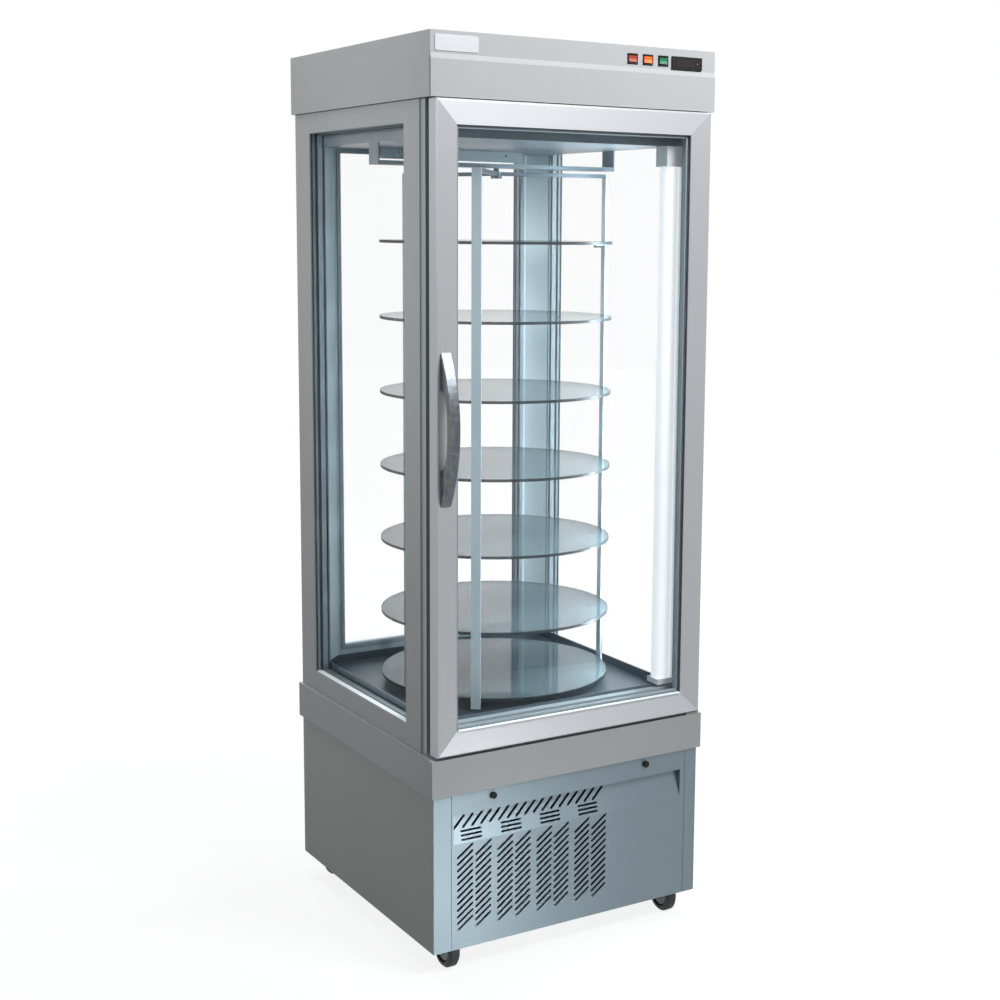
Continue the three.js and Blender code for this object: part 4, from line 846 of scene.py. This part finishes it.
# Floor: one matt painted disc, mid grey under the lamps so that it keeps the cabinet's shadow. To
# the camera, and through or in glass and metal, it also glows nearly white, a little less so near
# the cabinet.
floor_radius, near_edge, far_edge = 14.0, 1.2, 4.0
floor_paint, tree = blank("pale_studio_floor")
place = node(tree, "ShaderNodeTexCoord")
path = node(tree, "ShaderNodeLightPath")
cloud = node(tree, "ShaderNodeTexNoise", {"Vector": place.outputs["Object"], "Scale": 0.6})
shade = node(tree, "ShaderNodeMixRGB", {
    "Fac": cloud.outputs["Fac"], "Color1": linear("#717273"), "Color2": linear("#757677"),
})
lit_part = node(tree, "ShaderNodeBsdfDiffuse", {"Color": shade.outputs["Color"]})
seen = node(tree, "ShaderNodeMath", {
    0: path.outputs["Is Camera Ray"], 1: path.outputs["Is Transmission Ray"],
}, operation="MAXIMUM")
seen = node(tree, "ShaderNodeMath", {
    0: seen.outputs[0], 1: path.outputs["Is Glossy Ray"],
}, operation="MAXIMUM")
away = node(tree, "ShaderNodeVectorMath", {0: place.outputs["Object"]}, operation="LENGTH")
lift = node(tree, "ShaderNodeMapRange", {
    "Value": away.outputs["Value"], "From Min": near_edge, "From Max": far_edge,
    "To Min": 0.86, "To Max": 1.0,
})
power = node(tree, "ShaderNodeMath", {
    0: seen.outputs[0], 1: lift.outputs["Result"],
}, operation="MULTIPLY")
own = node(tree, "ShaderNodeEmission", {
    "Color": linear("#ffffff"), "Strength": power.outputs[0],
})
both = node(tree, "ShaderNodeAddShader", {0: lit_part.outputs[0], 1: own.outputs[0]})
node(tree, "ShaderNodeOutputMaterial", {"Surface": both.outputs[0]})
ground = bmesh.new()
bmesh.ops.create_circle(ground, cap_ends=True, segments=48, radius=floor_radius)
floor_mesh = bpy.data.meshes.new("studio_floor")
ground.to_mesh(floor_mesh)
ground.free()
floor_mesh.materials.append(floor_paint)
floor = bpy.data.objects.new("studio_floor", floor_mesh)
bpy.context.scene.collection.objects.link(floor)

# Room: a white surround for the camera, for glass and for metal, and a dim even light for all
# else. Soft disc lamps stand high in front, to the right and behind; a weak one comes from the
# left, and a narrow one draws the sheen on the machine front.
world = bpy.data.worlds.new("studio")
bpy.context.scene.world = world
world.use_nodes = True
tree = world.node_tree
tree.nodes.clear()
path = node(tree, "ShaderNodeLightPath")
seen = node(tree, "ShaderNodeMath", {
    0: path.outputs["Is Camera Ray"], 1: path.outputs["Is Transmission Ray"],
}, operation="MAXIMUM")
seen = node(tree, "ShaderNodeMath", {
    0: seen.outputs[0], 1: path.outputs["Is Glossy Ray"],
}, operation="MAXIMUM")
strength = node(tree, "ShaderNodeMapRange", {
    "Value": seen.outputs[0], "To Min": 0.125, "To Max": 1.0,
})
sky = node(tree, "ShaderNodeBackground", {
    "Color": linear("#ffffff"), "Strength": strength.outputs["Result"],
})
node(tree, "ShaderNodeOutputWorld", {"Surface": sky.outputs[0]})

for name, where, aim, size, watts, spread in (
    ("high_front_lamp", (0.9, -2.3, 3.1), (0.0, 0.0, 1.4), 1.4, 88.0, 180.0),
    ("low_front_lamp", (0.8, -2.7, 0.35), (-0.25, -0.3, 0.06), 0.5, 0.38, 23.0),
    ("right_lamp", (2.0, 0.2, 3.2), (0.0, 0.0, 1.2), 1.4, 40.0, 180.0),
    ("back_lamp", (-0.4, 2.6, 2.9), (0.0, 0.0, 1.2), 1.6, 60.0, 180.0),
    ("left_lamp", (-2.4, -0.4, 2.1), (-0.3, 0.0, 1.45), 0.8, 2.6, 60.0),
):
    lamp = bpy.data.lights.new(name, "AREA")
    lamp.shape = "DISK"
    lamp.size = size
    lamp.energy = watts
    lamp.spread = math.radians(spread)
    holder = bpy.data.objects.new(name, lamp)
    holder.location = where
    holder.rotation_euler = (Vector(aim) - Vector(where)).to_track_quat("-Z", "Y").to_euler()
    bpy.context.scene.collection.objects.link(holder)

# Tube light: the cabinet's own tube lights the inside with a cool white, from the front right
# corner. It stands a few millimetres clear of the diffuser's inner corner and isn't seen itself.
tube_width, tube_share, tube_clear = 0.03, 0.95, 0.004
cover_low, cover_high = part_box("lamp_cover")
tube = bpy.data.lights.new("tube_light", "AREA")
tube.shape = "RECTANGLE"
tube.size, tube.size_y = tube_width, tube_share * (cover_high.z - cover_low.z)
tube.energy = 6.0
tube.color = linear("#dff1f8")[:3]
holder = bpy.data.objects.new("tube_light", tube)
holder.location = (
    cover_low.x - tube_clear, cover_high.y + tube_clear, (cover_low.z + cover_high.z) / 2,
)
holder.rotation_euler = Vector((-1.0, 1.0, 0.0)).to_track_quat("-Z", "Y").to_euler()
holder.visible_camera = False
bpy.context.scene.collection.objects.link(holder)

# Camera: just below eye height, in front and to the left of the door, as the picture was taken.
# Angles, lens and place come from a fit to eighteen corners read from the picture.
eye_x, eye_from_axis, eye_z = -1.751, -3.050, 1.497
sensor, lens_ratio = 36.0, 1.615
yaw, pitch, roll = math.radians(32.18), math.radians(8.15), math.radians(0.54)
forward = Vector((
    math.sin(yaw) * math.cos(pitch), math.cos(yaw) * math.cos(pitch), -math.sin(pitch),
))
right = Vector((math.cos(yaw), -math.sin(yaw), 0.0))
upward = right.cross(forward)
turned_right = right * math.cos(roll) + upward * math.sin(roll)
turned_up = upward * math.cos(roll) - right * math.sin(roll)
eye = bpy.data.cameras.new("eye")
eye.sensor_width = sensor
eye.lens = sensor * lens_ratio
eye.shift_x, eye.shift_y = -0.06, -0.04
eye.clip_end = 50.0
viewer = bpy.data.objects.new("viewer", eye)
viewer.matrix_world = Matrix((
    (turned_right.x, turned_up.x, -forward.x, eye_x),
    (turned_right.y, turned_up.y, -forward.y, eye_from_axis + axis_y),
    (turned_right.z, turned_up.z, -forward.z, eye_z),
    (0.0, 0.0, 0.0, 1.0),
))
bpy.context.scene.collection.objects.link(viewer)
bpy.context.scene.camera = viewer
bpy.context.scene.view_settings.view_transform = "Standard"
bpy.context.scene.cycles.transparent_max_bounces = 32
